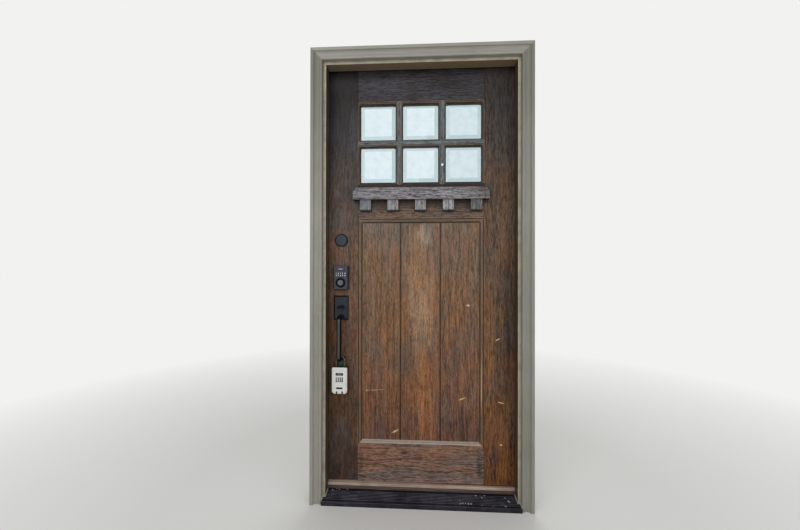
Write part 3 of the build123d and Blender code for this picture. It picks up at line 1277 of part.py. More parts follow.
def key_safe_cover():
    """The front cover with its wheel slots, the slider's slot, a lower slot and the wheels' axle."""
    rear = SAFE_FRONT + SAFE_COVER_THICKNESS
    cover = safe_cover_block(0, SAFE_FACE, rear)
    cover = chamfer(front_edges(cover), SAFE_COVER_PROUD / 2)
    half = WHEEL_THICKNESS / 2 + WHEEL_CLEARANCE
    room = WHEEL_RADIUS + WHEEL_CLEARANCE
    for x in wheel_places():
        cover -= block(x - half, x + half, SAFE_FACE - BEYOND, rear + BEYOND, WHEEL_Z - room, WHEEL_Z + room)
    axle_end = WHEEL_ROW_HALF - WHEEL_PLAY
    cover += rod_x(WHEEL_Y, WHEEL_Z, WHEEL_BORE, LOCK_X - axle_end, LOCK_X + axle_end)
    sunk = SAFE_FACE + SLIDER_SLOT_DEPTH
    cover -= rounded_slab(LOCK_X, SLIDER_Z, SLIDER_SLOT_WIDTH, SLIDER_SLOT_HEIGHT,
                          SLIDER_SLOT_HEIGHT / 2 - ROUND_END_FLAT, SAFE_FACE - BEYOND, sunk)
    return cover - rounded_slab(LOCK_X, SAFE_TOP - LOWER_SLOT_FROM_TOP, LOWER_SLOT_WIDTH,
                                LOWER_SLOT_HEIGHT, LOWER_SLOT_CORNER, SAFE_FACE - BEYOND, sunk)


def key_safe_shackle():
    """The shackle over the grip's lower return."""
    leg_low = SAFE_TOP - SHACKLE_LEG_DEPTH
    left = LOCK_X - SHACKLE_BEND
    right = LOCK_X + SHACKLE_BEND
    arch = ThreePointArc((left, SAFE_Y, SHACKLE_CENTRE), (LOCK_X, SAFE_Y, SHACKLE_CENTRE + SHACKLE_BEND),
                         (right, SAFE_Y, SHACKLE_CENTRE))
    path = Curve() + [Line((left, SAFE_Y, leg_low), (left, SAFE_Y, SHACKLE_CENTRE)), arch,
                      Line((right, SAFE_Y, SHACKLE_CENTRE), (right, SAFE_Y, leg_low))]
    section = Plane(origin=(left, SAFE_Y, leg_low), z_dir=(0, 0, 1)) * Circle(SHACKLE_RADIUS)
    return sweep(section, path=path)


def number_wheel(x):
    bore = WHEEL_BORE + WHEEL_PLAY
    wheel = rod_x(WHEEL_Y, WHEEL_Z, WHEEL_RADIUS, x - WHEEL_THICKNESS / 2, x + WHEEL_THICKNESS / 2)
    return wheel - rod_x(WHEEL_Y, WHEEL_Z, bore, x - WHEEL_THICKNESS, x + WHEEL_THICKNESS)


def key_safe_slider():
    """The oval catch button in its slot."""
    back = SAFE_FACE + SLIDER_SLOT_DEPTH
    front = SAFE_FACE - SLIDER_GAP
    piece = rounded_slab(LOCK_X, SLIDER_Z, SLIDER_WIDTH, SLIDER_HEIGHT,
                         SLIDER_HEIGHT / 2 - ROUND_END_FLAT, front, back - SLIDER_GAP)
    return chamfer(front_edges(piece), SLIDER_GAP)


def build_frame():
    save("hinge_jamb", hinge_jamb())
    save("strike_jamb", strike_jamb())
    save("head_jamb", head_jamb())
    leg = mould_leg()
    save("brickmould_legs", leg, mirrored(leg))
    save("brickmould_head", mould_head())
    strip = weatherstrip_leg()
    save("weatherstrips", strip, mirrored(strip), weatherstrip_head())
    save("threshold_deck", threshold_deck())
    save("threshold_base", threshold_base())
    save("threshold_cap", threshold_cap())
    save("strikes", latch_strike(), bolt_strike(UPPER_LOCK_HEIGHT), bolt_strike(KEYPAD_LOCK_HEIGHT))
    save("jamb_hinge_leaves", *[jamb_hinge_leaf(z) for z in hinge_heights()])
    save("hinge_pins", *[hinge_pin(z) for z in hinge_heights()])


def build_leaf():
    blank = leaf_blank()
    save("hinge_stile", hinge_stile(blank))
    save("lock_stile", lock_stile(blank))
    for node in RAIL_SPANS:
        piece = rail(blank, node)
        save(node, piece - sweep_kerf() if node == "bottom_rail" else piece)
    save("muntins", *muntins(blank))
    save("panes", *every_lite(pane))
    save("glazing_beads", *every_lite(glazing_bead))
    save("dentil_shelf", dentil_shelf())
    save("dentils", *dentils())
    save("planks", *planks())
    save("door_sweep", door_sweep())
    save("door_hinge_leaves", *[door_hinge_leaf(z) for z in hinge_heights()])


def build_locks():
    save("blank_rose", blank_rose())
    save("upper_bolt_case", bolt_case(UPPER_LOCK_HEIGHT, BOLT_BORE_END))
    save("upper_bolt", bolt(UPPER_LOCK_HEIGHT))
    save("upper_turn_rose", inside_rose(UPPER_LOCK_HEIGHT, ROSE_RADIUS, SPINDLE_RADIUS + SPINDLE_PLAY))
    save("upper_thumbturn", thumbturn(UPPER_LOCK_HEIGHT, LEAF_IN + ROSE_THICKNESS))
    save("keypad_plate", keypad_plate())
    save("lock_button", lock_button())
    for index, x in enumerate(key_places(), start=1):
        save(f"key_{index}", key(x))
    save("key_guard", key_guard())
    save("key_cylinder", key_cylinder())
    save("key_plug", key_plug())
    save("lower_bolt_case", bolt_case(KEYPAD_LOCK_HEIGHT, BOLT_BORE_END))
    save("lower_bolt", bolt(KEYPAD_LOCK_HEIGHT))
    save("inside_lock_cover", inside_lock_cover())
    save("lower_thumbturn", thumbturn(KEYPAD_LOCK_HEIGHT, LEAF_IN + INSIDE_COVER_THICKNESS))
    save("handle_plate", handle_plate())
    save("thumb_piece", thumb_piece())
    save("grip", grip())
    save("latch_case", bolt_case(LATCH_HEIGHT, BOLT_BORE_END))
    save("latch_bolt", latch_bolt())
    save("lever_rose", inside_rose(LATCH_HEIGHT, LEVER_ROSE_RADIUS, LEVER_NECK_RADIUS + SPINDLE_PLAY))
    save("inside_lever", inside_lever())


def build_key_safe():
    save("key_safe_body", key_safe_body())
    save("key_safe_cover", key_safe_cover())
    save("key_safe_shackle", key_safe_shackle())
    for index, x in enumerate(wheel_places(), start=1):
        save(f"number_wheel_{index}", number_wheel(x))
    save("key_safe_slider", key_safe_slider())


os.makedirs("parts", exist_ok=True)
build_frame()
build_leaf()
build_locks()
build_key_safe()
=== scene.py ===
import bpy
from math import atan, cos, pi, radians, sin
from mathutils import Matrix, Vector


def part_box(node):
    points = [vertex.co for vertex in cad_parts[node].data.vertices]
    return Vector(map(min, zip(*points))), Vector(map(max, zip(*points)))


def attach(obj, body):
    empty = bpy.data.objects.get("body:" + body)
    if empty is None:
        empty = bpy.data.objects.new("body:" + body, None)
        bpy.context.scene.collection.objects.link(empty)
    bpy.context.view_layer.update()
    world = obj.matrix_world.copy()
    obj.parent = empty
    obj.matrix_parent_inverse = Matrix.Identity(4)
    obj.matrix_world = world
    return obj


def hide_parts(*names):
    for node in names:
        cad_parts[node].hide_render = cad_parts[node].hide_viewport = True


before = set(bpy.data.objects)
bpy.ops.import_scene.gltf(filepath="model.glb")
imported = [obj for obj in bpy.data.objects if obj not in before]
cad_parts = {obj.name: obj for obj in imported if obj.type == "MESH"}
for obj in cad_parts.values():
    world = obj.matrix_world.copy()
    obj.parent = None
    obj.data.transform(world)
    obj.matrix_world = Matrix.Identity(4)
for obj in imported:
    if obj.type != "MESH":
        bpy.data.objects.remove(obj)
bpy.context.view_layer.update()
MM = 0.001

# Jambs and head
# Finger-jointed pine legs and head, rabbeted for the leaf and stained nearly black with the door.
# Their front edges were painted cream with the trim, and the brush ran a little round the corner.


def linear(colour, share=1.0):
    """An sRGB hex colour as the linear value that a socket takes, at a share of its brightness."""
    parts = [int(colour[i:i + 2], 16) / 255 for i in (1, 3, 5)]
    return [share * (p / 12.92 if p <= 0.04045 else ((p + 0.055) / 1.055) ** 2.4) for p in parts] + [1.0]


def add(tree, kind, *values, stops=(), out=0, to=None, **named):
    """Adds a node and gives back the output that out names, or all of them.

    Its kind may be followed by its operation. Values and outputs of other nodes fill its inputs, in
    order, by number from a dict, or by name, and names in small letters are its settings. Stops are
    a ramp's places and colours, and to is the input of the tree's shader that the node feeds.
    """
    kind, _, operation = kind.partition(" ")
    node = tree.nodes.new("ShaderNode" + kind)
    if operation:
        node.operation = operation
    inputs = values[0] if values and isinstance(values[0], dict) else dict(enumerate(values))
    for name, value in named.items():
        if name.islower():
            setattr(node, name, value)
        else:
            inputs[name] = value
    for socket, value in inputs.items():
        if isinstance(value, bpy.types.NodeSocket):
            tree.links.new(value, node.inputs[socket])
        else:
            node.inputs[socket].default_value = value
    for index, (place, colour) in enumerate(stops):
        ramp = node.color_ramp.elements
        if 0 < index < len(stops) - 1:
            stop = ramp.new(place)
        else:
            stop = ramp[0] if index == 0 else ramp[len(ramp) - 1]
            stop.position = place
        stop.color = linear(colour)
    if to:
        tree.links.new(node.outputs[out], tree.nodes["Principled BSDF"].inputs[to])
    return node.outputs if out is None else node.outputs[out]


def new_finish(name, **constants):
    """A material, its node tree and a surface's place, with the numbers that hold all over the surface."""
    finish = bpy.data.materials.new(name)
    finish.use_nodes = True
    tree = finish.node_tree
    for socket, value in constants.items():
        tree.nodes["Principled BSDF"].inputs[socket.replace("_", " ")].default_value = value
    return finish, tree, add(tree, "TexCoord", out="Object")


def dress(finish, *nodes):
    """Gives CAD nodes their finish."""
    for node in nodes:
        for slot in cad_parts[node].material_slots:
            slot.material = finish


def lay_over(tree, mask, colour):
    """Lays a colour, or a node's output, over the finish so far, as thickly as the mask says."""
    base = tree.nodes["Principled BSDF"].inputs["Base Color"]
    under = base.links[0].from_socket if base.is_linked else base.default_value[:]
    over = linear(colour) if isinstance(colour, str) else colour
    add(tree, "Mix", {0: mask, 6: under, 7: over}, data_type="RGBA", out=2, to="Base Color")


def draw_out(tree, place, stretch, width, detail=4.0):
    """Streaks of this width, drawn out along the axis whose stretch is small."""
    return add(tree, "TexNoise", add(tree, "Mapping", place, Scale=stretch), Scale=1 / width, Detail=detail)


# Stained pine: streaks along the grain, semi-matt, with cream paint on the faces turned to the street.
PINE_GRAIN_WIDTH = 5 * MM
JAMB_FRONT_Y = -58 * MM
PAINT_RUN_OVER = 1.5 * MM
finish, tree, place = new_finish("stained pine jamb", IOR=1.5)
streaks = draw_out(tree, place, (1, 1, 0.05), PINE_GRAIN_WIDTH)
add(tree, "ValToRGB", streaks, stops=[(0.3, "#2a211c"), (0.72, "#55473b")], to="Base Color")
depth = add(tree, "SeparateXYZ", place, out="Y")
ragged = add(tree, "TexNoise", place, Scale=1 / (16.7 * MM), Detail=2.0)
limit = add(tree, "MapRange", ragged, 0.3, 0.7, JAMB_FRONT_Y + 0.2 * PAINT_RUN_OVER,
            JAMB_FRONT_Y + PAINT_RUN_OVER)
painted = add(tree, "Math LESS_THAN", depth, limit)
soil = add(tree, "TexNoise", place, Scale=1 / (40 * MM), Detail=5.0)
lay_over(tree, painted, add(tree, "ValToRGB", soil, stops=[(0.3, "#8d887b"), (0.6, "#aca48c")]))
# The head's underside, where the faces turn down, is made browner and lighter than the legs.
facing = add(tree, "SeparateXYZ", add(tree, "TexCoord", out="Normal"), out="Z")
lay_over(tree, add(tree, "MapRange", facing, -0.5, -0.9, 0.0, 0.85), "#84735a")
add(tree, "MapRange", streaks, 0.0, 1.0, 0.38, 0.6, to="Roughness")
add(tree, "Bump", Height=streaks, Strength=0.4, Distance=0.4 * MM, to="Normal")
dress(finish, "hinge_jamb", "strike_jamb", "head_jamb")

# Weatherstrips and door sweep
# Foam strips in a thin vinyl skin, pressed into the jambs' kerfs, and a vinyl sweep in the leaf's kerf.
# The skin is dull and faintly wrinkled, with dust on it.
finish, tree, place = new_finish("vinyl skin on foam", IOR=1.5, Roughness=0.62)
wrinkles = add(tree, "TexNoise", place, Scale=1 / (4.55 * MM), Detail=3.0)
dust = add(tree, "TexNoise", place, Scale=1 / (28.6 * MM), Detail=4.0)
add(tree, "ValToRGB", dust, stops=[(0.4, "#241f1c"), (0.8, "#4a423b")], to="Base Color")
add(tree, "Bump", Height=wrinkles, Strength=0.5, Distance=0.3 * MM, to="Normal")
dress(finish, "weatherstrips", "door_sweep")

# Brickmould
# A primed pine moulding, mitred at the corners, nailed to the jambs' edges and painted olive grey by brush.
# The brush left faint lines along its length, and its cove is darkened with dirt and painted shade.
TRIM_DIRT_AND_SHADE = "#4c4a40"
BRUSH_LINE = 2.2 * MM
TRIM_TOP = 2131.65 * MM
TRIM_HALF_WIDTH = 514.35 * MM


def product(tree, *parts):
    """These parts multiplied, which for masks is where all of them hold."""
    result = parts[0]
    for part in parts[1:]:
        result = add(tree, "Math MULTIPLY", result, part)
    return result


finish, tree, place = new_finish("olive grey trim paint", IOR=1.48)
spread = add(tree, "SeparateXYZ", place, out=None)
upright = add(tree, "Mapping", place, Scale=(1, 1, 0.03))
level = add(tree, "Mapping", place, Scale=(0.03, 1, 1))
mitre = add(tree, "Math SUBTRACT", spread["Z"], add(tree, "Math ABSOLUTE", spread["X"]))
on_head = add(tree, "Math GREATER_THAN", mitre, TRIM_TOP - TRIM_HALF_WIDTH)
brushed = add(tree, "Mix", {0: on_head, 4: upright, 5: level}, data_type="VECTOR", out=1)
lines = add(tree, "TexNoise", brushed, Scale=1 / BRUSH_LINE, Detail=3.0)
patches = add(tree, "TexNoise", place, Scale=1 / (200 * MM), Detail=4.0)
tone = product(tree, add(tree, "Math ADD", lines, patches), 0.5)
add(tree, "ValToRGB", tone, stops=[(0.36, "#83817a"), (0.62, "#95938a")], to="Base Color")
# Painted shade, with some dirt, darkens the cove and the other hollows of the moulding.
openness = add(tree, "AmbientOcclusion", Distance=12 * MM, samples=6, only_local=True, out="AO")
lay_over(tree, add(tree, "MapRange", openness, 0.4, 0.95, 0.85, 0.0), TRIM_DIRT_AND_SHADE)
# The tops of the legs are darker with soot that rain doesn't reach and with painted shade at the top, and
# the leg at the hinges is greyer with painted shade.
soot_and_painted_shade = add(tree, "MapRange", spread["Z"], 1.3, 1.95, 0.0, 0.55)
hinge_leg_shade = product(tree, add(tree, "Math GREATER_THAN", spread["X"], 0.0), 0.2)
soot_and_painted_shade = add(tree, "Math MAXIMUM", soot_and_painted_shade, hinge_leg_shade)
legs = add(tree, "Math SUBTRACT", 1.0, on_head)
lay_over(tree, product(tree, soot_and_painted_shade, legs), TRIM_DIRT_AND_SHADE)
add(tree, "MapRange", patches, 0.0, 1.0, 0.35, 0.55, to="Roughness")
add(tree, "Bump", Height=lines, Strength=0.35, Distance=0.3 * MM, to="Normal")
dress(finish, "brickmould_legs", "brickmould_head")

# Threshold base
# Pressure-treated pine under the metal deck, planed on top where it shows before the oak cap.
# It was stained with the frame and has greyed.
finish, tree, place = new_finish("treated pine sill", IOR=1.5, Roughness=0.7)
streaks = draw_out(tree, place, (0.04, 1, 1), 3.85 * MM)
add(tree, "ValToRGB", streaks, stops=[(0.3, "#2c2522"), (0.75, "#6d5a4e")], to="Base Color")
add(tree, "Bump", Height=streaks, Strength=0.5, Distance=0.4 * MM, to="Normal")
dress(finish, "threshold_base")

# Threshold deck
# Extruded aluminium, anodised nearly black with a blue cast, folded down at its nose and ribbed for grip.
# Feet have rubbed the tops of the ribs paler.
DECK_SLOPE = 0.1446
DECK_BACK_Y = -7 * MM
DECK_BACK_TOP = 32 * MM
RIB_RISE = 1.2 * MM
finish, tree, place = new_finish("dark anodised aluminium", Metallic=0.55)
lines = draw_out(tree, place, (0.03, 1, 1), 2 * MM, 3.0)
scuffs = add(tree, "TexNoise", place, Scale=1 / (71.4 * MM), Detail=6.0, Roughness=0.7)
wear = product(tree, lines, scuffs)
add(tree, "ValToRGB", wear, stops=[(0.2, "#191822"), (0.42, "#3f3e4a")], to="Base Color")
spread = add(tree, "SeparateXYZ", place, out=None)
slope = add(tree, "Math MULTIPLY_ADD", spread["Y"], DECK_SLOPE, DECK_BACK_TOP - DECK_BACK_Y * DECK_SLOPE)
rise = add(tree, "Math SUBTRACT", spread["Z"], slope)
on_rib = add(tree, "MapRange", rise, 0.5 * RIB_RISE, 0.95 * RIB_RISE)
lay_over(tree, product(tree, on_rib, add(tree, "MapRange", scuffs, 0.35, 0.65)), "#6a6a75")
add(tree, "MapRange", scuffs, 0.0, 1.0, 0.3, 0.6, to="Roughness")
add(tree, "Bump", Height=lines, Strength=0.3, Distance=0.1 * MM, to="Normal")
dress(finish, "threshold_deck")

# Threshold cap
# An oak strip with a rounded front edge, screwed to the base under the leaf.
# Its varnish has gone, so it has weathered to a pinkish tan, still red where the leaf shelters it.
finish, tree, place = new_finish("weathered oak", IOR=1.5, Roughness=0.72)
streaks = draw_out(tree, place, (0.03, 1, 1), 2.38 * MM)
bleached = add(tree, "TexNoise", place, Scale=1 / (167 * MM), Detail=3.0)
tone = product(tree, streaks, bleached)
add(tree, "ValToRGB", tone, stops=[(0.14, "#8a7362"), (0.32, "#b3a094")], to="Base Color")
spread = add(tree, "SeparateXYZ", place, out=None)
sheltered = add(tree, "MapRange", spread["Y"], 8 * MM, 12 * MM)
to_hinges = add(tree, "MapRange", spread["X"], -0.05, 0.12)
lay_over(tree, product(tree, sheltered, to_hinges), "#5d2a20")
add(tree, "Bump", Height=streaks, Strength=0.6, Distance=0.4 * MM, to="Normal")
dress(finish, "threshold_cap")

# Sealant
# Cream sealant run by hand from a gun along both ends of the deck and round the jambs' front corners.
# It keeps rain out of the joint, and it swells and thins as the hand slowed and sped up.
SEAL_RADIUS = 2.3 * MM
# Its course as (across, back, swell), the first two in millimetres.
SEAL_COURSE = ((446.6, -8, 1.0), (446.5, -24, 0.8), (446.6, -40, 1.15), (446.5, -54, 0.9),
               (446.9, -59.4, 1.1), (453, -59.6, 0.9), (459, -59.8, 1.2), (459.3, -66, 0.85),
               (459.3, -76, 1.1), (459.2, -88, 0.8))


def pick(*pieces):
    """Selects these objects alone, and the first of them is the active one."""
    bpy.ops.object.select_all(action="DESELECT")
    for piece in reversed(pieces):
        piece.select_set(True)
        bpy.context.view_layer.objects.active = piece


def fit(pieces, name, finish, body):
    """Joins a piece's parts, puts its place into its mesh, gives it its finish, and fixes it to its body."""
    pick(*pieces)
    if len(pieces) > 1:
        bpy.ops.object.join()
    piece = pieces[0]
    bpy.ops.object.transform_apply()
    piece.name = name
    piece.data.materials.clear()
    piece.data.materials.append(finish)
    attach(piece, body)


finish, tree, place = new_finish("cream sealant", IOR=1.45)
soil = add(tree, "TexNoise", place, Scale=1 / (11.1 * MM), Detail=4.0)
add(tree, "ValToRGB", soil, stops=[(0.35, "#8f8978"), (0.6, "#c2bcab")], to="Base Color")
add(tree, "MapRange", soil, 0.0, 1.0, 0.35, 0.65, to="Roughness")
add(tree, "Bump", Height=soil, Strength=0.6, Distance=0.4 * MM, to="Normal")
for side, name in ((1, "sealant_hinge_end"), (-1, "sealant_lock_end")):
    run = bpy.data.curves.new(name, "CURVE")
    run.dimensions = "3D"
    run.bevel_depth = SEAL_RADIUS
    run.bevel_resolution = 3
    run.use_fill_caps = True
    spline = run.splines.new("NURBS")
    spline.points.add(len(SEAL_COURSE) - 1)
    for point, (x, y, swell) in zip(spline.points, SEAL_COURSE):
        top = DECK_BACK_TOP + (y * MM - DECK_BACK_Y) * DECK_SLOPE
        point.co = (side * x * MM, y * MM, top + 0.5 * SEAL_RADIUS, 1)
        point.radius = swell
    spline.order_u = 3
    spline.use_endpoint_u = True
    bead = bpy.data.objects.new(name, run)
    bpy.context.collection.objects.link(bead)
    pick(bead)
    bpy.ops.object.convert(target="MESH")
    bpy.ops.object.shade_smooth()
    fit([bpy.context.object], name, finish, "frame")

# Paint drops
# Trim paint that fell on the deck near its ends while the brickmould was brushed, and was never scraped off.
# It lies across the ribs in flat, uneven drops and one smear.
# Each drop is (across, back, half width, half depth), in millimetres.
DROPS = ((262, -24, 5, 2.5), (303, -22, 4, 2), (288, -34, 3, 3), (185, -53, 4, 2), (183, -74, 4, 3),
         (195, -71, 6, 2.5), (208, -70, 5, 3), (221, -72, 6, 2), (233, -72, 4, 3), (396, -31, 4, 3),
         (408, -50, 3, 5), (281, -80, 3, 2), (331, -82, 4, 2), (388, -79, 5, 2), (378, -66, 2, 3),
         (-403, -11, 5, 2.5), (-389, -14, 4, 2), (-350, -12, 3, 2), (-422, -18, 3, 4))
DROP_THICKNESS = 0.7 * MM
finish, tree, place = new_finish("spilt trim paint", IOR=1.48)
soil = add(tree, "TexNoise", place, Scale=1 / (4 * MM), Detail=4.0)
add(tree, "ValToRGB", soil, stops=[(0.35, "#83848c"), (0.6, "#c4c4c8")], to="Base Color")
add(tree, "MapRange", soil, 0.0, 1.0, 0.4, 0.7, to="Roughness")
drops = []
for index, (x, y, across, deep) in enumerate(DROPS):
    top = DECK_BACK_TOP + (y * MM - DECK_BACK_Y) * DECK_SLOPE + RIB_RISE
    pick()
    bpy.ops.mesh.primitive_ico_sphere_add(subdivisions=3, radius=1, location=(x * MM, y * MM, top),
                                          scale=(across * MM, deep * MM, DROP_THICKNESS))
    drop = bpy.context.object
    drop.rotation_euler = (atan(DECK_SLOPE), 0, 0.7 * index)
    # Its edge bulges and draws in by about a quarter, each drop in its own way.
    for point in drop.data.vertices:
        swell = 1 + 0.28 * sin(5 * point.co.x + 3 * index) * cos(4 * point.co.y + index)
        point.co.x *= swell
        point.co.y *= swell
    bpy.ops.object.shade_smooth()
    drops.append(drop)
fit(drops, "paint_drops", finish, "frame")

# Stiles
# Solid mahogany the full height of the leaf, mortised for the rails and stained a dark walnut.
# The stain is nearly black under the head, partly kept from the sun and partly painted shade. Sun and rain
# have taken it back to brown lower down.
FIGURE_WIDTH = 14 * MM
STREAK_WIDTH = 6.5 * MM
PORE_WIDTH = 3 * MM
PATCH_WIDTH = 60 * MM
FIGURE_STRETCH = 0.04
FIBRE_STRETCH = 0.1
PORE_STRETCH = 0.17
PATCH_STRETCH = 0.25
OUTDOORS = 30 * MM
INDOORS = 46 * MM
KEPT_DARK = "#2d1f17"
KEPT_LIGHT = "#6f4d34"
SHELTER_LOW = 1.3
SHELTER_HIGH = 1.65
SUNNED = "#8e5a33"
GREYED = "#5d5954"
WORN_EDGE = "#a58d72"
SHADE_AND_JOINT_DARK = "#120e0b"
FILM = "#4d4a55"
RAIN_RUN = "#241a15"
STICKING_BROWN = "#7b6450"
STICKING_GREY = "#666b6e"
STILE_EDGE = 306 * MM
LITES_MIDDLE = 1713 * MM
LITES_REACH = 201 * MM
PANEL_MIDDLE = 787 * MM
PANEL_REACH = 556 * MM
LEAF_MIDDLE = 35.775 * MM
LEAF_HALF = 22.225 * MM
LEAF_REACH = 2.1
QUIRK_DEPTH = 2.2 * MM
BOARD_SHIFT = 5.3
SPOT_DEPTH = 45 * MM


def spot(tree, place, centre, reach, strength=1.0, turn=0, softness=0.8, ragged=0.5):
    """Where a stain or mark on the front is: centre and half sizes in metres, and turn in degrees."""
    own = add(tree, "Mapping", place, Location=(centre[0], 0, centre[1]),
              Rotation=(0, radians(turn), 0), Scale=(reach[0], SPOT_DEPTH, reach[1]), vector_type="TEXTURE")
    far = add(tree, "VectorMath LENGTH", own, out="Value")
    edge = add(tree, "TexNoise", own, Scale=2.2, Detail=4.0)
    far = add(tree, "Math MULTIPLY_ADD", edge, 2 * ragged, far)
    return add(tree, "MapRange", far, 1 + ragged, 1 + ragged - softness, 0.0, strength)


def evenness(tree, radius):
    """How even the surface is within a radius: 1 where it is flat, and less at an edge or corner."""
    flat = add(tree, "NewGeometry", out="Normal")
    rounded = add(tree, "Bevel", Radius=radius, samples=6)
    return add(tree, "VectorMath DOT_PRODUCT", flat, rounded, out="Value")


def away(tree, value, middle):
    """How far a value is from its middle."""
    return add(tree, "Math ABSOLUTE", add(tree, "Math SUBTRACT", value, middle))


def stained_wood(name, light, dark, level=False, level_where=None, splits=(), seed=0.0, film=0.35,
                 rained=None, runs=0.0, moulded=0.6, sunned=0.25, greyed=0.25, stains=()):
    """Stained mahogany, whose light and dark tones are given from the bottom up as (height, colour).

    Its grain stands upright, lies level, or lies level only where level_where says. Each split is
    where a new board starts. The film is old sealer gone grey, runs says how far rain has streaked it,
    moulded how far its moulded edges have lost their stain, sunned and greyed how far it has patches
    of orange brown and of grey, and rained is the colour of faces that the rain falls on. A stain is
    its centre, half sizes, colour and strength, and the grain shows through it.
    """
    finish, tree, place = new_finish(name, IOR=1.5, Specular_IOR_Level=0.2)
    spread = add(tree, "SeparateXYZ", place, out=None)
    outdoors = add(tree, "MapRange", spread["Y"], INDOORS, OUTDOORS)
    # Each board is cut from another place in the tree.
    board = 0.0
    for split in splits:
        past = add(tree, "Math GREATER_THAN", spread["X"], split)
        board = add(tree, "Math ADD", past, board)
    shift = add(tree, "CombineXYZ", seed, product(tree, board, BOARD_SHIFT), 0.6 * seed)
    own = add(tree, "VectorMath ADD", place, shift)
    lies = level_where(tree, spread) if level_where else float(level)
    lengthwise = []
    for stretch in (FIGURE_STRETCH, FIBRE_STRETCH, PORE_STRETCH, PATCH_STRETCH):
        upright = add(tree, "Mapping", own, Scale=(1, 1, stretch))
        lying = add(tree, "Mapping", own, Scale=(stretch, 1, 1))
        lengthwise.append(add(tree, "Mix", {0: lies, 4: upright, 5: lying}, data_type="VECTOR", out=1))
    figure = add(tree, "TexNoise", lengthwise[0], Scale=1 / FIGURE_WIDTH, Detail=3.0, Distortion=0.4)
    streaks = add(tree, "TexNoise", lengthwise[1], Scale=1 / STREAK_WIDTH, Detail=4.0, Roughness=0.65)
    pores = add(tree, "TexNoise", lengthwise[2], Scale=1 / PORE_WIDTH, Detail=3.0)
    grain = add(tree, "Math MULTIPLY_ADD", figure, 0.45, streaks)
    grain = add(tree, "Math MULTIPLY_ADD", pores, 0.8, grain)
    grain = add(tree, "MapRange", grain, 0.92, 1.33)

    # The tones follow the height, and their bounds wander. Their darkness near the top is partly painted
    # shade under the head.
    cloud = add(tree, "TexNoise", own, Scale=1 / (286 * MM), Detail=3.0)
    height = add(tree, "Math SUBTRACT", cloud, 0.5)
    height = add(tree, "Math MULTIPLY_ADD", height, 0.45, spread["Z"])
    height = add(tree, "Math DIVIDE", height, LEAF_REACH)
    tones = []
    for heights in (dark, light):
        stops = [(up / LEAF_REACH, colour) for up, colour in heights]
        tones.append(add(tree, "ValToRGB", height, stops=stops))
    # Patches have gone orange brown or grey, and each tone of the grain takes them up.
    hue = add(tree, "TexNoise", lengthwise[3], Scale=1 / PATCH_WIDTH, Detail=3.0, Distortion=0.5)
    sheltered = add(tree, "MapRange", spread["Z"], SHELTER_LOW, SHELTER_HIGH, 1.0, 0.1)
    taken = []
    for centre, reach, colour, strength in stains:
        taken.append((spot(tree, place, centre, reach, strength), colour))
    for low, high, strength, colour in ((0.5, 0.66, sunned, SUNNED), (0.5, 0.36, greyed, GREYED)):
        patch = add(tree, "MapRange", hue, low, high, 0.0, strength)
        taken.append((product(tree, patch, sheltered), colour))
    for index, (share, kept) in enumerate(((0.5, KEPT_DARK), (1.4, KEPT_LIGHT))):
        for mask, colour in taken:
            tone = {0: mask, 6: tones[index], 7: linear(colour, share)}
            tones[index] = add(tree, "Mix", tone, data_type="RGBA", out=2)
        # The side in the room never met the weather and has kept its stain.
        tone = {0: outdoors, 6: linear(kept), 7: tones[index]}
        tones[index] = add(tree, "Mix", tone, data_type="RGBA", out=2)
    add(tree, "Mix", {0: grain, 6: tones[0], 7: tones[1]}, data_type="RGBA", out=2, to="Base Color")
    # Old sealer clings in patches and between the streaks.
    patches = add(tree, "TexNoise", own, Scale=1 / (167 * MM), Detail=5.0)
    clinging = add(tree, "MapRange", patches, 0.46, 0.66, 0.0, film)
    lay_over(tree, product(tree, clinging, streaks, outdoors), FILM)
    if runs:
        wet = add(tree, "MapRange", draw_out(tree, own, (1, 1, 0.04), 25 * MM), 0.52, 0.68, 0.0, runs)
        lay_over(tree, product(tree, wet, outdoors), RAIN_RUN)

    # Moulded edges have lost their stain: brown at the sides and under a top edge, grey where rain lies.
    facing = add(tree, "SeparateXYZ", add(tree, "TexCoord", out="Normal"), out=None)
    slant = add(tree, "Math ABSOLUTE", facing["Y"])
    slant = add(tree, "Math COMPARE", slant, 0.545, 0.45)
    bare = add(tree, "MapRange", grain, 0.0, 1.0, 0.6, 1.0)
    in_lites = add(tree, "Math COMPARE", spread["Z"], LITES_MIDDLE, LITES_REACH)
    in_panel = add(tree, "Math COMPARE", spread["Z"], PANEL_MIDDLE, PANEL_REACH)
    sideways = add(tree, "Math ABSOLUTE", facing["X"])
    sideways = add(tree, "MapRange", product(tree, sideways, in_lites), 0.1, 0.5, moulded, 0.35 * moulded)
    worn = product(tree, slant, sideways, bare)
    lay_over(tree, worn, STICKING_BROWN)
    upward = product(tree, add(tree, "MapRange", facing["Z"], 0.12, 0.32), outdoors)
    lay_over(tree, product(tree, worn, upward), STICKING_GREY)
    if rained:
        lay_over(tree, product(tree, upward, bare), rained)
    # Painted shade darkens them in the quirk and where they go down to the glass or the planks.
    depth = add(tree, "Math SUBTRACT", LEAF_HALF, away(tree, spread["Y"], LEAF_MIDDLE))
    quirk = add(tree, "Math COMPARE", depth, QUIRK_DEPTH, 0.3 * MM)
    near = add(tree, "Math MULTIPLY_ADD", in_lites, 1.4 * MM, depth)
    lifted = add(tree, "Math MULTIPLY_ADD", upward, -0.8 if rained else 0.0, 1.0)
    deep = product(tree, add(tree, "MapRange", near, 4 * MM, 5.6 * MM), lifted)
    shaded = add(tree, "Math MAXIMUM", quirk, deep)
    lay_over(tree, product(tree, shaded, slant, 0.8 if moulded else 0.3), SHADE_AND_JOINT_DARK)
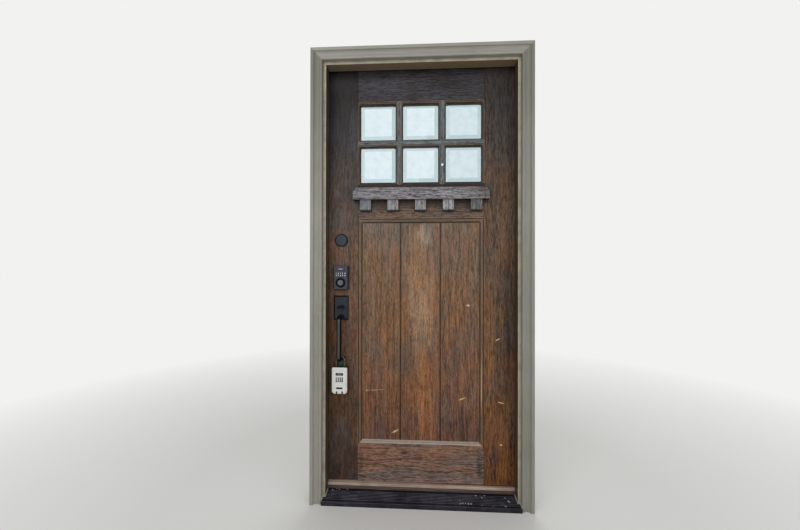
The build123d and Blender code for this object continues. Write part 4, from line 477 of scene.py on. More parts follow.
    # Painted shade darkens the faces turned down and, with some dirt, the corners, and hands and weather
    # have worn the edges, but not where two boards meet.
    openness = add(tree, "AmbientOcclusion", Distance=14 * MM, samples=6, only_local=True, out="AO")
    corner_dirt_and_shade = add(tree, "MapRange", openness, 0.3, 0.85, 0.85 if moulded else 0.42, 0.0)
    under = add(tree, "MapRange", facing["Z"], -0.6, -0.95, 0.0, 0.8)
    lay_over(tree, add(tree, "Math MAXIMUM", corner_dirt_and_shade, under), SHADE_AND_JOINT_DARK)
    sharp = add(tree, "MapRange", evenness(tree, 4 * MM), 0.99, 0.86)
    outer = add(tree, "MapRange", openness, 0.82, 0.95)
    thin = add(tree, "MapRange", patches, 0.3, 0.6, 0.25)
    outward = add(tree, "Math ABSOLUTE", spread["X"])
    at_rails = add(tree, "Math SUBTRACT", 1.0, in_lites)
    at_rails = add(tree, "Math SUBTRACT", at_rails, in_panel)
    joint = product(tree, add(tree, "Math COMPARE", outward, STILE_EDGE, 5 * MM), at_rails)
    kept = add(tree, "Math SUBTRACT", 1.0, joint)
    lay_over(tree, product(tree, sharp, outer, thin, kept), WORN_EDGE)
    seam = add(tree, "Math COMPARE", outward, STILE_EDGE, 1.1 * MM)
    lay_over(tree, product(tree, seam, at_rails, 0.75), SHADE_AND_JOINT_DARK)

    add(tree, "MapRange", figure, 0.3, 0.7, 0.42, 0.62, to="Roughness")
    relief = add(tree, "Math ADD", streaks, pores)
    add(tree, "Bump", Height=relief, Strength=0.5, Distance=0.5 * MM, to="Normal")
    return finish, tree, place


def mark(tree, place, centre, reach, colour, strength=1.0, turn=0, softness=0.8, ragged=0.5):
    """A mark on the front that hides the grain."""
    lay_over(tree, spot(tree, place, centre, reach, strength, turn, softness, ragged), colour)


def nick(tree, place, centre, reach, turn=0):
    """A nick down to the raw wood."""
    mark(tree, place, centre, reach, "#dcbd8e", turn=turn, softness=0.5, ragged=0.4)


finish, tree, place = stained_wood(
    "stained mahogany, hinge stile",
    light=[(0.07, "#7d4f28"), (0.45, "#835831"), (0.85, "#7c5b3d"), (1.3, "#765f4a"), (1.7, "#554a42"),
           (2.07, "#382f2b")],
    dark=[(0.07, "#26170d"), (0.5, "#322216"), (0.9, "#33261b"), (1.3, "#2a221c"), (1.7, "#1b1816"),
          (2.07, "#0e0c0c")], seed=1.7, film=0.3, runs=0.25, sunned=0.35,
    stains=(((0.352, 0.2), (0.05, 0.075), "#33343a", 0.6), ((0.335, 0.66), (0.024, 0.34), "#99683a", 0.55),
            ((0.42, 0.8), (0.035, 0.48), "#211812", 0.75), ((0.39, 1.02), (0.03, 0.2), "#2b211a", 0.35)))
nick(tree, place, (0.371, 0.7585), (0.015, 0.0035), -30)
nick(tree, place, (0.386, 0.456), (0.02, 0.003), 14)
nick(tree, place, (0.3876, 0.2534), (0.0065, 0.006))
mark(tree, place, (0.2945, 0.53), (0.0035, 0.18), "#b89a72", 0.8, softness=0.5)
# Painted shadow of the shelf's end on the stile, beside and above it.
mark(tree, place, (0.317, 1.424), (0.013, 0.014), SHADE_AND_JOINT_DARK, 0.8)
mark(tree, place, (0.337, 1.455), (0.01, 0.035), SHADE_AND_JOINT_DARK, 0.6)
dress(finish, "hinge_stile")

# The near-black spot at the top of the lock stile is partly painted shade under the head.
finish, tree, place = stained_wood(
    "stained mahogany, lock stile",
    light=[(0.07, "#4f3b30"), (0.4, "#5e422c"), (0.75, "#7e573a"), (1.1, "#836149"), (1.4, "#675b54"),
           (1.7, "#3c3735"), (2.07, "#110f0f")],
    dark=[(0.07, "#1d1411"), (0.5, "#291c15"), (0.9, "#3a291f"), (1.3, "#33281f"), (1.7, "#151313"),
          (2.07, "#060505")], seed=4.1, film=0.3, runs=0.2,
    stains=(((-0.345, 0.2), (0.045, 0.08), "#2a2a2e", 0.6), ((-0.36, 1.36), (0.05, 0.09), "#7a5646", 0.45),
            ((-0.33, 1.75), (0.03, 0.18), "#4c4c55", 0.5), ((-0.42, 1.94), (0.06, 0.2), "#0d0c0c", 0.8)))
# Painted shadow of the shelf's end on the stile, beside and above it.
mark(tree, place, (-0.317, 1.424), (0.013, 0.014), SHADE_AND_JOINT_DARK, 0.8)
mark(tree, place, (-0.334, 1.45), (0.006, 0.03), SHADE_AND_JOINT_DARK, 0.5)
dress(finish, "lock_stile")

# Rails
# Mahogany again, but lying level: tenoned into the stiles and moulded along the edges that meet the panel.
# The bottom rail's sloping edge sheds the rain, so it has bleached nearly grey.
# The top rail's near-black tones are partly painted shade under the head.
finish, tree, place = stained_wood(
    "stained mahogany, top rail", light=[(1.9, "#4a474c"), (2.07, "#343133")],
    dark=[(1.9, "#171415"), (2.07, "#0d0c0c")], level=True, seed=7.3, film=0.3, sunned=0.05, greyed=0.2,
    stains=(((-0.17, 1.985), (0.13, 0.05), "#4a4a56", 0.45), ((0.13, 2.0), (0.15, 0.05), "#1c1614", 0.55)))
dress(finish, "top_rail")

finish, tree, place = stained_wood(
    "stained mahogany, shelf rail", light=[(1.34, "#806a5a"), (1.5, "#6c5951")],
    dark=[(1.34, "#2f231e"), (1.5, "#281f1b")], level=True, seed=9.9, film=0.4, rained="#857870", sunned=0.1)
# Painted shade on the downward-facing sticking along the top of the panel.
mark(tree, place, (0, 1.3365), (0.3, 0.0075), "#45413b", 0.6, ragged=0.2)
# Painted shadow darkens the rail under the shelf and round the dentils.
DENTIL_PITCH = 133.5 * MM
DENTIL_HALF = 26 * MM
dentil_low, dentil_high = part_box("dentils")
spread = add(tree, "SeparateXYZ", place, out=None)
beside = add(tree, "Math WRAP", spread["X"], DENTIL_PITCH / 2, -DENTIL_PITCH / 2)
beside = add(tree, "Math ABSOLUTE", beside)
beside = add(tree, "MapRange", beside, DENTIL_HALF + 7 * MM, DENTIL_HALF + 3 * MM)
above = add(tree, "MapRange", spread["Z"], dentil_low.z - 8 * MM, dentil_low.z - 4 * MM)
under = add(tree, "MapRange", spread["Z"], dentil_high.z - 60 * MM, dentil_high.z - 5 * MM)
shelf_shadow = add(tree, "Math MAXIMUM", product(tree, beside, above), under)
in_street = add(tree, "Math LESS_THAN", spread["Y"], LEAF_MIDDLE)
lay_over(tree, product(tree, shelf_shadow, in_street, 0.8), SHADE_AND_JOINT_DARK)
dress(finish, "shelf_rail")

finish, tree, place = stained_wood(
    "stained mahogany, bottom rail", light=[(0.07, "#99817a"), (0.23, "#9b755f")],
    dark=[(0.07, "#261d1b"), (0.23, "#2e201a")], level=True, seed=12.4, film=0.4, rained="#b0a298",
    sunned=0.25, greyed=0.45,
    stains=(((0.285, 0.15), (0.022, 0.09), "#2f3034", 0.8), ((-0.29, 0.15), (0.02, 0.09), "#26262a", 0.8)))
dress(finish, "bottom_rail")

# Muntins and glazing beads
# Thin moulded bars between the lites, scribed over each other, and square beads that hold the panes inside.
# The finish has worn thin along every edge round the glass.
MUNTIN_X = 104.33 * MM


def along_the_cross_bars(tree, spread):
    """Where the nearest bar is a cross bar, and not one of the two upright ones."""
    outward = add(tree, "Math ABSOLUTE", spread["X"])
    return add(tree, "Math LESS_THAN", away(tree, spread["Z"], LITES_MIDDLE), away(tree, outward, MUNTIN_X))


finish, tree, place = stained_wood(
    "stained mahogany, muntins", light=[(1.5, "#79848a"), (1.92, "#6d787e")],
    dark=[(1.5, "#24292b"), (1.92, "#1e2224")], level_where=along_the_cross_bars, seed=15.2, film=0.2,
    moulded=0.4)
mark(tree, place, (0.1053, 1.6043), (0.007, 0.007), "#e9e6de", softness=0.3, ragged=0.2)
dress(finish, "muntins", "glazing_beads")

# Planks
# Three tongued mahogany boards, loose in the grooves of the stiles and rails, veed where they meet.
# The middle one has bleached most, and water has stained them next to the vees.
PLANK_SPLIT = 97.5 * MM
finish, tree, place = stained_wood(
    "stained mahogany, planks",
    light=[(0.23, "#775443"), (0.5, "#8e6040"), (0.85, "#946b4c"), (1.15, "#8c6e55"), (1.34, "#857263")],
    dark=[(0.23, "#33231d"), (0.6, "#493325"), (1.0, "#4f3c2d"), (1.34, "#4b4137")],
    splits=(-PLANK_SPLIT, PLANK_SPLIT), seed=21.0, film=0.35, runs=0.2, moulded=0.0, sunned=0.25, greyed=0.3,
    stains=(((0.0, 0.95), (0.09, 0.46), "#c09a74", 0.8), ((0.2, 0.85), (0.07, 0.35), "#453a31", 0.3),
            ((0.02, 0.45), (0.07, 0.33), "#ae7043", 0.8), ((-0.125, 1.19), (0.032, 0.11), "#9a5f28", 0.6),
            ((0.02, 1.265), (0.06, 0.1), "#a59e92", 0.75), ((-0.04, 1.24), (0.04, 0.1), "#8f6a45", 0.4),
            ((-0.25, 1.3), (0.05, 0.05), "#6d6f6a", 0.5), ((-0.075, 0.66), (0.03, 0.17), "#33382f", 0.65),
            ((0.166, 0.7), (0.02, 0.16), "#33382f", 0.65), ((0.2, 0.35), (0.07, 0.13), "#332a2a", 0.55),
            ((-0.19, 0.33), (0.08, 0.12), "#5a3b35", 0.5)))
nick(tree, place, (0.232, 0.921), (0.011, 0.009))
nick(tree, place, (-0.122, 0.302), (0.025, 0.007), -28)
nick(tree, place, (0.202, 0.467), (0.026, 0.0045), -22)
mark(tree, place, (-0.22, 0.502), (0.06, 0.004), "#a98d7a", 0.7, turn=-3, softness=0.4)
mark(tree, place, (-0.262, 0.5), (0.008, 0.008), "#a89182", 0.8, softness=0.3)
dress(finish, "planks")

# Dentil shelf
# A moulded mahogany shelf screwed across the leaf under the lites, with five square dentils glued under it.
# It stands proud and takes the weather, so its stain has gone a purplish grey.
finish, tree, place = stained_wood(
    "weathered mahogany, shelf", light=[(1.35, "#a8a5aa"), (1.5, "#aaa7ac")],
    dark=[(1.35, "#1b1a1c"), (1.5, "#1e1d1f")], level=True, seed=25.0, film=0.3, moulded=0.0,
    sunned=0.0, greyed=0.1,
    stains=(((-0.3, 1.465), (0.07, 0.06), "#6a6e78", 0.6), ((0.3, 1.465), (0.09, 0.07), "#5d5049", 0.8)))
# It is planed in steps from the nose up: the nose, a square set-back, the upright face and a weathered top.
# Each step is its rise and how far it draws in.
SHELF_NOSE = 8 * MM
SHELF_STEPS = ((0.8 * MM, 1.4 * MM), (30 * MM, 0.0), (22 * MM, 15 * MM))


def select_top(piece):
    """Goes into edit mode with only the piece's top face selected."""
    bpy.ops.object.mode_set(mode="EDIT")
    bpy.ops.mesh.select_all(action="DESELECT")
    bpy.ops.object.mode_set(mode="OBJECT")
    for face in piece.data.polygons:
        face.select = face.normal.z > 0.9
    bpy.ops.object.mode_set(mode="EDIT")
    bpy.ops.mesh.select_mode(type="FACE")


low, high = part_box("dentil_shelf")
pick()
bpy.ops.mesh.primitive_cube_add(size=1, location=(0, (low.y + high.y) / 2, low.z + SHELF_NOSE / 2),
                                scale=(high.x - low.x, high.y - low.y, SHELF_NOSE))
shelf = bpy.context.object
bpy.ops.object.transform_apply()
select_top(shelf)
half_width, depth, top = high.x, high.y - low.y, low.z + SHELF_NOSE
for rise, drawn_in in SHELF_STEPS:
    top += rise
    bpy.ops.mesh.extrude_region_move(TRANSFORM_OT_translate={"value": (0, 0, rise)})
    bpy.ops.transform.resize(value=((half_width - drawn_in) / half_width, (depth - drawn_in) / depth, 1),
                             center_override=(0, high.y, top))
    half_width -= drawn_in
    depth -= drawn_in
bpy.ops.object.mode_set(mode="OBJECT")
rounded = shelf.modifiers.new("rounded", "BEVEL")
rounded.width = 1.4 * MM
rounded.segments = 2
rounded.limit_method = "ANGLE"
bpy.ops.object.modifier_apply(modifier="rounded")
bpy.ops.object.shade_smooth_by_angle(angle=radians(35))
fit([shelf], "dentil_shelf_moulding", finish, "leaf")
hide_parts("dentil_shelf")

finish, tree, place = stained_wood(
    "weathered mahogany, dentils", light=[(1.35, "#b1b2b7"), (1.45, "#acadb2")],
    dark=[(1.35, "#4b4a50"), (1.45, "#47464c")], seed=28.0, film=0.4, moulded=0.0, sunned=0.0, greyed=0.15,
    splits=[gap * DENTIL_PITCH for gap in (-1.5, -0.5, 0.5, 1.5)],
    stains=(((-0.267, 1.407), (0.06, 0.06), "#63676e", 0.9), ((0.267, 1.407), (0.06, 0.06), "#4c4b4c", 0.9)))
dress(finish, "dentils")

# Panes
# Sealed double glass, its outer faces ground to a wide bevel and polished.
# Clean glass has the faintest green-blue, and dust dulls it towards the corners.
finish, tree, place = new_finish("bevelled clear glass", IOR=1.5, Transmission_Weight=1.0)
dust = add(tree, "TexNoise", place, Scale=1 / (33.3 * MM), Detail=6.0)
add(tree, "ValToRGB", dust, stops=[(0.4, "#e2f3fb"), (0.75, "#d3e6ec")], to="Base Color")
# The ground border is a degree or two off square, and a greener, darker tint painted on it stands in for the
# light its bevel bends.
facing = add(tree, "SeparateXYZ", add(tree, "TexCoord", out="Normal"), out="Y")
facing = add(tree, "Math ABSOLUTE", facing)
lay_over(tree, add(tree, "MapRange", facing, 0.9995, 0.993), "#a9c3c8")
add(tree, "MapRange", dust, 0.45, 0.8, 0.0, 0.08, to="Roughness")
dress(finish, "panes")

# Hinges
# Three loose-pin steel butts in a dark bronze finish, let flush into the hinge jamb and the hinge stile.
# Each of their leaves is held by four countersunk cross-head screws.
HINGE_HEIGHTS = (315.5 * MM, 1106 * MM, 1896.5 * MM)
# Places on a hinge leaf, back from the street and up from the leaf's middle.
HINGE_SCREWS = ((30 * MM, 39 * MM), (46 * MM, 14 * MM), (30 * MM, -14 * MM), (46 * MM, -39 * MM))
SCREW_RADIUS = 4.2 * MM
SCREW_DEPTH = 1.2 * MM
SCREW_PROUD = 0.3 * MM
SCREW_EDGE = 0.25 * MM
RECESS_REACH = 5 * MM
RECESS_WIDTH = 1.1 * MM
RECESS_HEIGHT = 1.4 * MM
FRAME_SCREW_X = 460.4 * MM
LEAF_SCREW_X = 457.2 * MM
TO_LOCKS = (0, -pi / 2, 0)
TO_HINGES = (0, pi / 2, 0)
TO_STREET = (pi / 2, 0, 0)
TO_HOUSE = (-pi / 2, 0, 0)


def rubbed_metal(name, colour, rubbed, line, roughness=0.4, metallic=0.8, **constants):
    """Plated or lacquered metal, with its brushing's line width, and brighter where hands rub its edges."""
    darker = linear(colour, 0.62)
    finish, tree, place = new_finish(name, Base_Color=darker, Metallic=metallic, **constants)
    lines = draw_out(tree, place, (1, 1, 0.06), line, 3.0)
    smears = add(tree, "TexNoise", place, Scale=1 / (25 * MM), Detail=5.0)
    lay_over(tree, smears, colour)
    worn = add(tree, "MapRange", evenness(tree, 1.0 * MM), 0.985, 0.88)
    lay_over(tree, product(tree, worn, smears), rubbed)
    add(tree, "MapRange", smears, 0.3, 0.7, 0.75 * roughness, 1.3 * roughness, to="Roughness")
    add(tree, "Bump", Height=lines, Strength=0.25, Distance=0.1 * MM, to="Normal")
    return finish, tree, place


hinge_metal = rubbed_metal("bronzed hinge steel", "#2b2320", "#6b5443", 1.5 * MM)[0]
dress(hinge_metal, "jamb_hinge_leaves", "door_hinge_leaves", "hinge_pins")

pick()
bpy.ops.mesh.primitive_cylinder_add(vertices=24, radius=SCREW_RADIUS, depth=SCREW_DEPTH,
                                    location=(0, 0, SCREW_PROUD - SCREW_DEPTH / 2))
screw = bpy.context.object
bpy.ops.object.transform_apply()
select_top(screw)
bpy.ops.mesh.bevel(offset=SCREW_EDGE, segments=2, affect="EDGES")
bpy.ops.object.mode_set(mode="OBJECT")
for turn in (0, 90):
    pick()
    bpy.ops.mesh.primitive_cube_add(size=1, location=(0, 0, SCREW_PROUD), rotation=(0, 0, radians(turn)),
                                    scale=(RECESS_REACH, RECESS_WIDTH, RECESS_HEIGHT))
    cutter = bpy.context.object
    cut = screw.modifiers.new("recess", "BOOLEAN")
    cut.object = cutter
    cut.operation = "DIFFERENCE"
    cut.solver = "EXACT"
    bpy.context.view_layer.objects.active = screw
    bpy.ops.object.modifier_apply(modifier="recess")
    bpy.data.objects.remove(cutter)


def drive(name, places, turn, body, finish):
    """Copies the screw to each place, its head turned that way, and fits the copies as one piece."""
    copies = []
    for index, seat in enumerate(places):
        copy = bpy.data.objects.new(name, screw.data.copy())
        # No two screws end with their cross at the same angle.
        copy.data.transform(Matrix.Rotation(radians(37 * index), 4, "Z"))
        bpy.context.collection.objects.link(copy)
        copy.location = seat
        copy.rotation_euler = turn
        copies.append(copy)
    fit(copies, name, finish, body)


for name, x, turn, body in (("jamb_hinge_screws", FRAME_SCREW_X, TO_LOCKS, "frame"),
                            ("door_hinge_screws", LEAF_SCREW_X, TO_HINGES, "leaf")):
    places = [(x, y, z + rise) for z in HINGE_HEIGHTS for y, rise in HINGE_SCREWS]
    drive(name, places, turn, body, hinge_metal)

# Strike plates, bolts and their cases
# Bright-plated steel: stamped strikes screwed into the jamb, and tubes and bolts let into the leaf's edge.
# The plating has gone dull where the bolts slide.
bolt_metal = rubbed_metal("satin nickel plate", "#8e8a84", "#c9c5bd", 0.8 * MM, 0.32, metallic=1.0)[0]
dress(bolt_metal, "upper_bolt", "lower_bolt", "latch_bolt", "upper_bolt_case", "lower_bolt_case",
      "latch_case")
strike_metal = rubbed_metal("bronzed strike steel", "#3a302b", "#8a7260", 1.0 * MM)[0]
dress(strike_metal, "strikes")
# Each lock's height, and how far its strike's screws stand above and below it.
LOCKS = ((1238 * MM, 27 * MM), (1031 * MM, 27 * MM), (891.3 * MM, 22 * MM))
FACEPLATE_SCREW = 21.5 * MM
places = [(-FRAME_SCREW_X, LEAF_MIDDLE, z + side * apart) for z, apart in LOCKS for side in (-1, 1)]
drive("strike_screws", places, TO_HINGES, "frame", strike_metal)
places = [(-LEAF_SCREW_X, LEAF_MIDDLE, z + side * FACEPLATE_SCREW) for z, _ in LOCKS for side in (-1, 1)]
drive("faceplate_screws", places, TO_LOCKS, "leaf", bolt_metal)

# Roses, thumbturns and lever
# Zinc castings, turned or linished and then coated in a satin black lacquer over bronze.
# The lacquer's soft blue grey is a painted reflection of the sky, and it has thinned to brown on the edges
# that hands meet.
LACQUER_BLACK = "#07080b"
LACQUER_RUBBED = "#50525a"
LACQUER_LINES = 1.2 * MM
# A reach so deep that only the way across and up counts.
ANY_DEPTH = 1000


def outside_ring(tree, place, node, reach, colour):
    """Colours what lies further than reach from the axis of a round piece that faces the street."""
    low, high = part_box(node)
    centre = (low + high) / 2
    across = add(tree, "Mapping", place, Location=(centre.x, 0, centre.z), Scale=(1, ANY_DEPTH, 1),
                 vector_type="TEXTURE")
    far = add(tree, "VectorMath LENGTH", across, out="Value")
    lay_over(tree, add(tree, "Math GREATER_THAN", far, reach), colour)


lacquer = rubbed_metal("black lacquered bronze", "#20262e", LACQUER_RUBBED, LACQUER_LINES, roughness=0.36,
                       metallic=0.45)[0]
dress(lacquer, "upper_turn_rose", "upper_thumbturn", "lower_thumbturn", "lever_rose", "inside_lever",
      "handle_plate", "thumb_piece")
# The disc's blue grey face is painted sky reflection.
finish, tree, place = rubbed_metal("black lacquered disc, painted sky reflection", "#1f2634", LACQUER_RUBBED, LACQUER_LINES,
                                   roughness=0.36, metallic=0.45)
outside_ring(tree, place, "blank_rose", 26 * MM, LACQUER_BLACK)
dress(finish, "blank_rose")
ring = rubbed_metal("black lacquered ring", LACQUER_BLACK, "#222327", LACQUER_LINES, roughness=0.42,
                    metallic=0.3, Specular_IOR_Level=0.15)[0]
dress(ring, "key_guard")
# The grip is blackest, and its flat front between the chamfers is painted a grey highlight.
finish, tree, place = rubbed_metal("black lacquered grip", LACQUER_BLACK, "#2c2d31", LACQUER_LINES,
                                   roughness=0.42, metallic=0.3, Specular_IOR_Level=0.15)
facing = add(tree, "SeparateXYZ", add(tree, "TexCoord", out="Normal"), out="Y")
lay_over(tree, add(tree, "MapRange", facing, -0.85, -0.97), "#484b49")
dress(finish, "grip")

# Keypad
# A zinc casting in a dark grey powder coat, with rubber keys that light up and a guard round the cylinder.
# Each key carries two pale numbers.


def coated(name, colour, grit, roughness=0.5, **constants):
    """A powder coat or moulded skin: one colour, faintly clouded, over pebbles as wide as its grit."""
    finish, tree, place = new_finish(name, Base_Color=linear(colour, 0.8), IOR=1.5, **constants)
    pebbles = add(tree, "TexNoise", place, Scale=1 / grit, Detail=2.0)
    clouds = add(tree, "TexNoise", place, Scale=1 / (33.3 * MM), Detail=4.0)
    lay_over(tree, clouds, colour)
    # Painted shade darkens its creases and recesses.
    openness = add(tree, "AmbientOcclusion", Distance=5 * MM, samples=6, only_local=True, out="AO")
    lay_over(tree, add(tree, "MapRange", openness, 0.3, 0.85, 0.7, 0.0), "#17130f")
    add(tree, "MapRange", clouds, 0.3, 0.7, 0.8 * roughness, 1.2 * roughness, to="Roughness")
    add(tree, "Bump", Height=pebbles, Strength=0.35, Distance=0.15 * MM, to="Normal")
    return finish, tree, place


def inside_block(tree, spread, middle, half):
    """Where the surface is less than half away from the middle, both across and up."""
    inside = 1.0
    for axis, centre, reach in zip("XZ", middle, half):
        within = add(tree, "Math COMPARE", spread[axis], centre, reach)
        inside = product(tree, inside, within)
    return inside


# The plate's rolled edge turns away from the sky and looks black round three sides.
low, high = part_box("keypad_plate")
middle, half = (low + high) / 2, (high - low) / 2
finish, tree, place = coated("dark grey powder coat", "#3c3f47", 1.2 * MM, Specular_IOR_Level=0.3)
spread = add(tree, "SeparateXYZ", place, out=None)
face = inside_block(tree, spread, (middle.x, middle.z + 2 * MM), (half.x - 4 * MM, half.z - 2 * MM))
rolled = add(tree, "Math SUBTRACT", 1.0, face)
lay_over(tree, product(tree, rolled, 0.8), "#0b0b0d")
dress(finish, "keypad_plate")
dress(coated("black moulded ABS", "#1d1e20", 0.9 * MM, roughness=0.42)[0], "inside_lock_cover")
keys = [f"key_{key}" for key in range(1, 6)]
dress(coated("smoked rubber keys", "#2e3035", 0.8 * MM, roughness=0.6)[0], *keys)
finish, tree, place = coated("smoked rubber button, painted light", "#8f92a0", 0.8 * MM, roughness=0.4)
# The button's pale middle is painted light, with its rim left dark.
low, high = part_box("lock_button")
middle = (low + high) / 2
across = add(tree, "Mapping", place, Location=middle[:],
             Scale=(high.x - middle.x, ANY_DEPTH, high.z - middle.z), vector_type="TEXTURE")
far = add(tree, "VectorMath LENGTH", across, out="Value")
lay_over(tree, add(tree, "MapRange", far, 0.35, 0.8), "#23252c")
dress(finish, "lock_button")
finish, tree, place = rubbed_metal("satin zinc cylinder", "#666971", "#9a9ba1", 1.0 * MM, metallic=0.6,
                                   Specular_IOR_Level=0.2)
outside_ring(tree, place, "key_cylinder", 13.5 * MM, LACQUER_BLACK)
dress(finish, "key_cylinder")
dress(rubbed_metal("nickelled brass plug", "#6d6b66", "#b5a57c", 0.8 * MM, metallic=0.9)[0], "key_plug")

NUMBER_HEIGHT = 8.2 * MM
NUMBER_THICKNESS = 0.25 * MM
NUMBER_SINK = 0.05 * MM
LINE_SPACE = 1.22
BOLDNESS = 0.045


def print_ink(name, roughness, stops):
    """Screen-printed ink, thinner and thicker in fine specks."""
    finish, tree, place = new_finish(name, IOR=1.5, Roughness=roughness)
    specks = add(tree, "TexNoise", place, Scale=1 / (2 * MM), Detail=3.0)
    add(tree, "ValToRGB", specks, stops=stops, to="Base Color")
    return finish


def write_numbers(numbers, height, seat, turn):
    """Writes numbers as a thin mesh at their seat, read from where the turn faces."""
    pick()
    bpy.ops.object.text_add(location=(0, 0, 0))
    words = bpy.context.object
    words.data.body = numbers
    words.data.size = height
    words.data.align_x = "CENTER"
    words.data.align_y = "CENTER"
    words.data.space_line = LINE_SPACE
    words.data.extrude = NUMBER_THICKNESS / 2
    words.data.offset = BOLDNESS * height
    words.data.resolution_u = 3
    bpy.ops.object.convert(target="MESH")
    words = bpy.context.object
    words.location = seat
    words.rotation_euler = turn
    return words


pale_ink = print_ink("pale number print", 0.55, [(0.3, "#cfd1da"), (0.6, "#f0f1f6")])
for key, pair in zip(keys, ("1\n2", "3\n4", "5\n6", "7\n8", "9\n0")):
    low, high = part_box(key)
    seat = ((low.x + high.x) / 2, low.y - NUMBER_THICKNESS / 2 + NUMBER_SINK, (low.z + high.z) / 2)
    numbers = write_numbers(pair, NUMBER_HEIGHT, seat, TO_STREET)
    fit([numbers], f"numbers_on_{key}", pale_ink, key)

# The locks, the grip and the key safe stand on one line.
LOCK_X = -387.35 * MM
COVER_BACK = 88 * MM
COVER_SCREWS = (1131 * MM, 999 * MM)
GRIP_FOOT = (8.55 * MM, 626 * MM)
drive("inside_cover_screws", [(LOCK_X, COVER_BACK, z) for z in COVER_SCREWS], TO_HOUSE, "leaf", strike_metal)
drive("grip_foot_screw", [(LOCK_X, *GRIP_FOOT)], TO_STREET, "leaf", lacquer)

# Key safe
# A hanging key safe: a cast zinc body and cover in baked white enamel, with a plated steel shackle.
# Four number wheels and a small slider stand in slots in its cover, painted dark inside as shade.
SLOT_SHADE = "#101113"
COVER_FACE = -32 * MM
# Height and half sizes of the slots over the wheels, for the slider and for the wheels.
SLOTS = ((592.3 * MM, 19.3 * MM, 6.8 * MM), (525.8 * MM, 16.3 * MM, 4.8 * MM),
         (566.8 * MM, 20 * MM, 12.5 * MM))
NOTCH_OUT = 13.3 * MM
NOTCH_HEIGHT = 506 * MM
finish, tree, place = coated("white baked enamel", "#dfdfdb", 1.6 * MM, roughness=0.32)
spread = add(tree, "SeparateXYZ", place, out=None)
deep = add(tree, "Math GREATER_THAN", spread["Y"], COVER_FACE + 0.5 * MM)
shallow = add(tree, "Math LESS_THAN", spread["Y"], COVER_FACE + 7 * MM)
# The insides of the slots are painted dark as shade.
for slot_height, half_width, half_height in SLOTS:
    slot = inside_block(tree, spread, (LOCK_X, slot_height), (half_width, half_height))
    lay_over(tree, product(tree, slot, deep, shallow), SLOT_SHADE)
# The notches in the bottom edge are painted dark as shade, a little beyond their cut.
for side in (-1, 1):
    notch = inside_block(tree, spread, (LOCK_X + side * NOTCH_OUT, NOTCH_HEIGHT), (3.6 * MM, 5 * MM))
    lay_over(tree, notch, SLOT_SHADE)
# Behind the white front the casting is sheathed in black vinyl, so that it doesn't scratch the door.
sheathed = add(tree, "Math GREATER_THAN", spread["Y"], COVER_FACE + 6.5 * MM)
lay_over(tree, sheathed, "#1c1d20")
dress(finish, "key_safe_body", "key_safe_cover")
dress(rubbed_metal("plated shackle steel", "#62645b", "#9a9c92", 1.0 * MM, roughness=0.3, metallic=0.9)[0],
      "key_safe_shackle")
dress(coated("moulded grey nylon", "#64676d", 0.8 * MM, roughness=0.4)[0], "key_safe_slider")
dress(coated("beige nylon wheel", "#96948a", 0.8 * MM)[0], "number_wheel_1", "number_wheel_2")
dress(coated("dark nylon wheel", "#5f6062", 0.8 * MM)[0], "number_wheel_3", "number_wheel_4")

WHEEL_DIGIT = 6 * MM
dark_ink = print_ink("dark number print", 0.5, [(0.35, "#15161a"), (0.7, "#4a4b50")])
for wheel in (1, 2, 3, 4):
    low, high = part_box(f"number_wheel_{wheel}")
    middle = (low + high) / 2
    radius = (high.z - low.z) / 2 - NUMBER_SINK
    digits = []
    for digit in range(10):
        angle = 2 * pi * digit / 10
        seat = (middle.x, middle.y - radius * cos(angle), middle.z - radius * sin(angle))
        digits.append(write_numbers(str(digit), WHEEL_DIGIT, seat, (pi / 2 + angle, 0, 0)))
    fit(digits, f"numbers_on_wheel_{wheel}", dark_ink, f"number_wheel_{wheel}")

bpy.data.objects.remove(screw)

# Stage: floor, lamps, sky and camera
# A pale floor that fades into the white surroundings, three large soft lamps, and a camera with a very
# wide lens at the photograph's viewing angle, 1.7 m in front of the frame.
PALE = "#f2f2f0"
FLOOR_HALF = 8.0


def in_sight(tree):
    """Whether a ray looks from the camera, in a reflection or through glass, and lights nothing."""
    rays = add(tree, "LightPath", out=None)
    seen = add(tree, "Math MAXIMUM", rays["Is Camera Ray"], rays["Is Glossy Ray"])
    return add(tree, "Math MAXIMUM", seen, rays["Is Transmission Ray"])


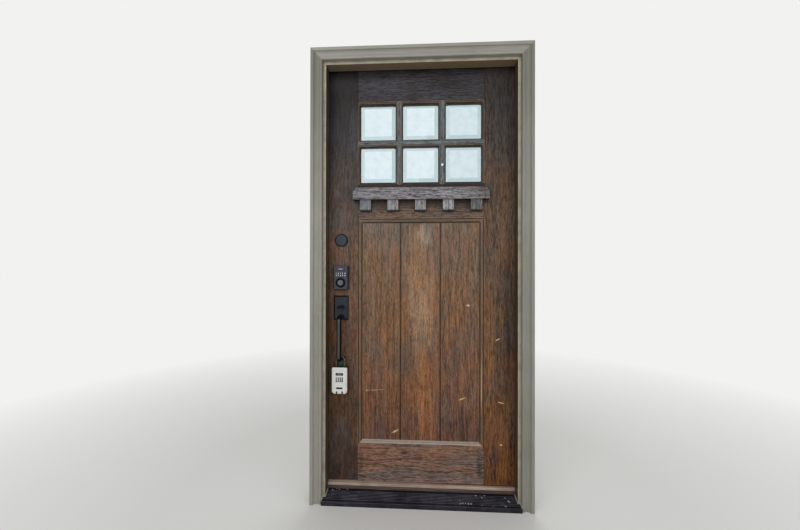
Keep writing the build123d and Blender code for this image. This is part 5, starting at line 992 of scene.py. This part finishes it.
pick()
bpy.ops.mesh.primitive_plane_add(size=2 * FLOOR_HALF, location=(0, 0, 0))
floor = bpy.context.object
floor.name = "floor"
bpy.ops.object.mode_set(mode="EDIT")
bpy.ops.mesh.subdivide(number_cuts=3)
bpy.ops.object.mode_set(mode="OBJECT")
finish, tree, place = new_finish("pale floor", Base_Color=linear("#dcdcda"), Roughness=0.8)
far = add(tree, "VectorMath LENGTH", place, out="Value")
fade = product(tree, add(tree, "MapRange", far, 1.2, 3.5), in_sight(tree))
glow = add(tree, "Emission", Color=linear(PALE), Strength=1.0)
faded = add(tree, "MixShader", fade, tree.nodes["Principled BSDF"].outputs[0], glow)
tree.links.new(faded, tree.nodes["Material Output"].inputs["Surface"])
floor.data.materials.append(finish)

world = bpy.data.worlds.new("plain surroundings")
bpy.context.scene.world = world
world.use_nodes = True
tree = world.node_tree
soft = add(tree, "Background", Color=linear(PALE), Strength=0.55)
white = add(tree, "Background", Color=linear(PALE), Strength=1.0)
surroundings = add(tree, "MixShader", in_sight(tree), soft, white)
tree.links.new(surroundings, tree.nodes["World Output"].inputs["Surface"])

# Each lamp is its name, power in watts, place in metres and turn in degrees.
LAMP_SIZE = 3.0
for name, power, stand, turn in (("street lamp", 55, (-1.2, -3.2, 2.6), (62, 0, -20)),
                                 ("fill lamp", 26, (2.2, -2.6, 1.6), (75, 0, 40)),
                                 ("inside lamp", 45, (0.6, 3.2, 2.6), (-62, 0, -10))):
    bpy.ops.object.light_add(type="AREA", location=stand, rotation=[radians(angle) for angle in turn])
    lamp = bpy.context.object
    lamp.name = name
    lamp.data.energy = power
    lamp.data.size = LAMP_SIZE
    lamp.visible_transmission = False

CAMERA_PLACE = (-0.0041, -1.7191, 1.1117)
CAMERA_TURN = (90.18, -0.1, 3.15)
bpy.ops.object.camera_add(location=CAMERA_PLACE, rotation=[radians(angle) for angle in CAMERA_TURN])
camera = bpy.context.object
camera.name = "photograph camera"
camera.data.lens = 16.0
camera.data.sensor_width = 36.0
bpy.context.scene.camera = camera
bpy.context.scene.view_settings.view_transform = "Standard"
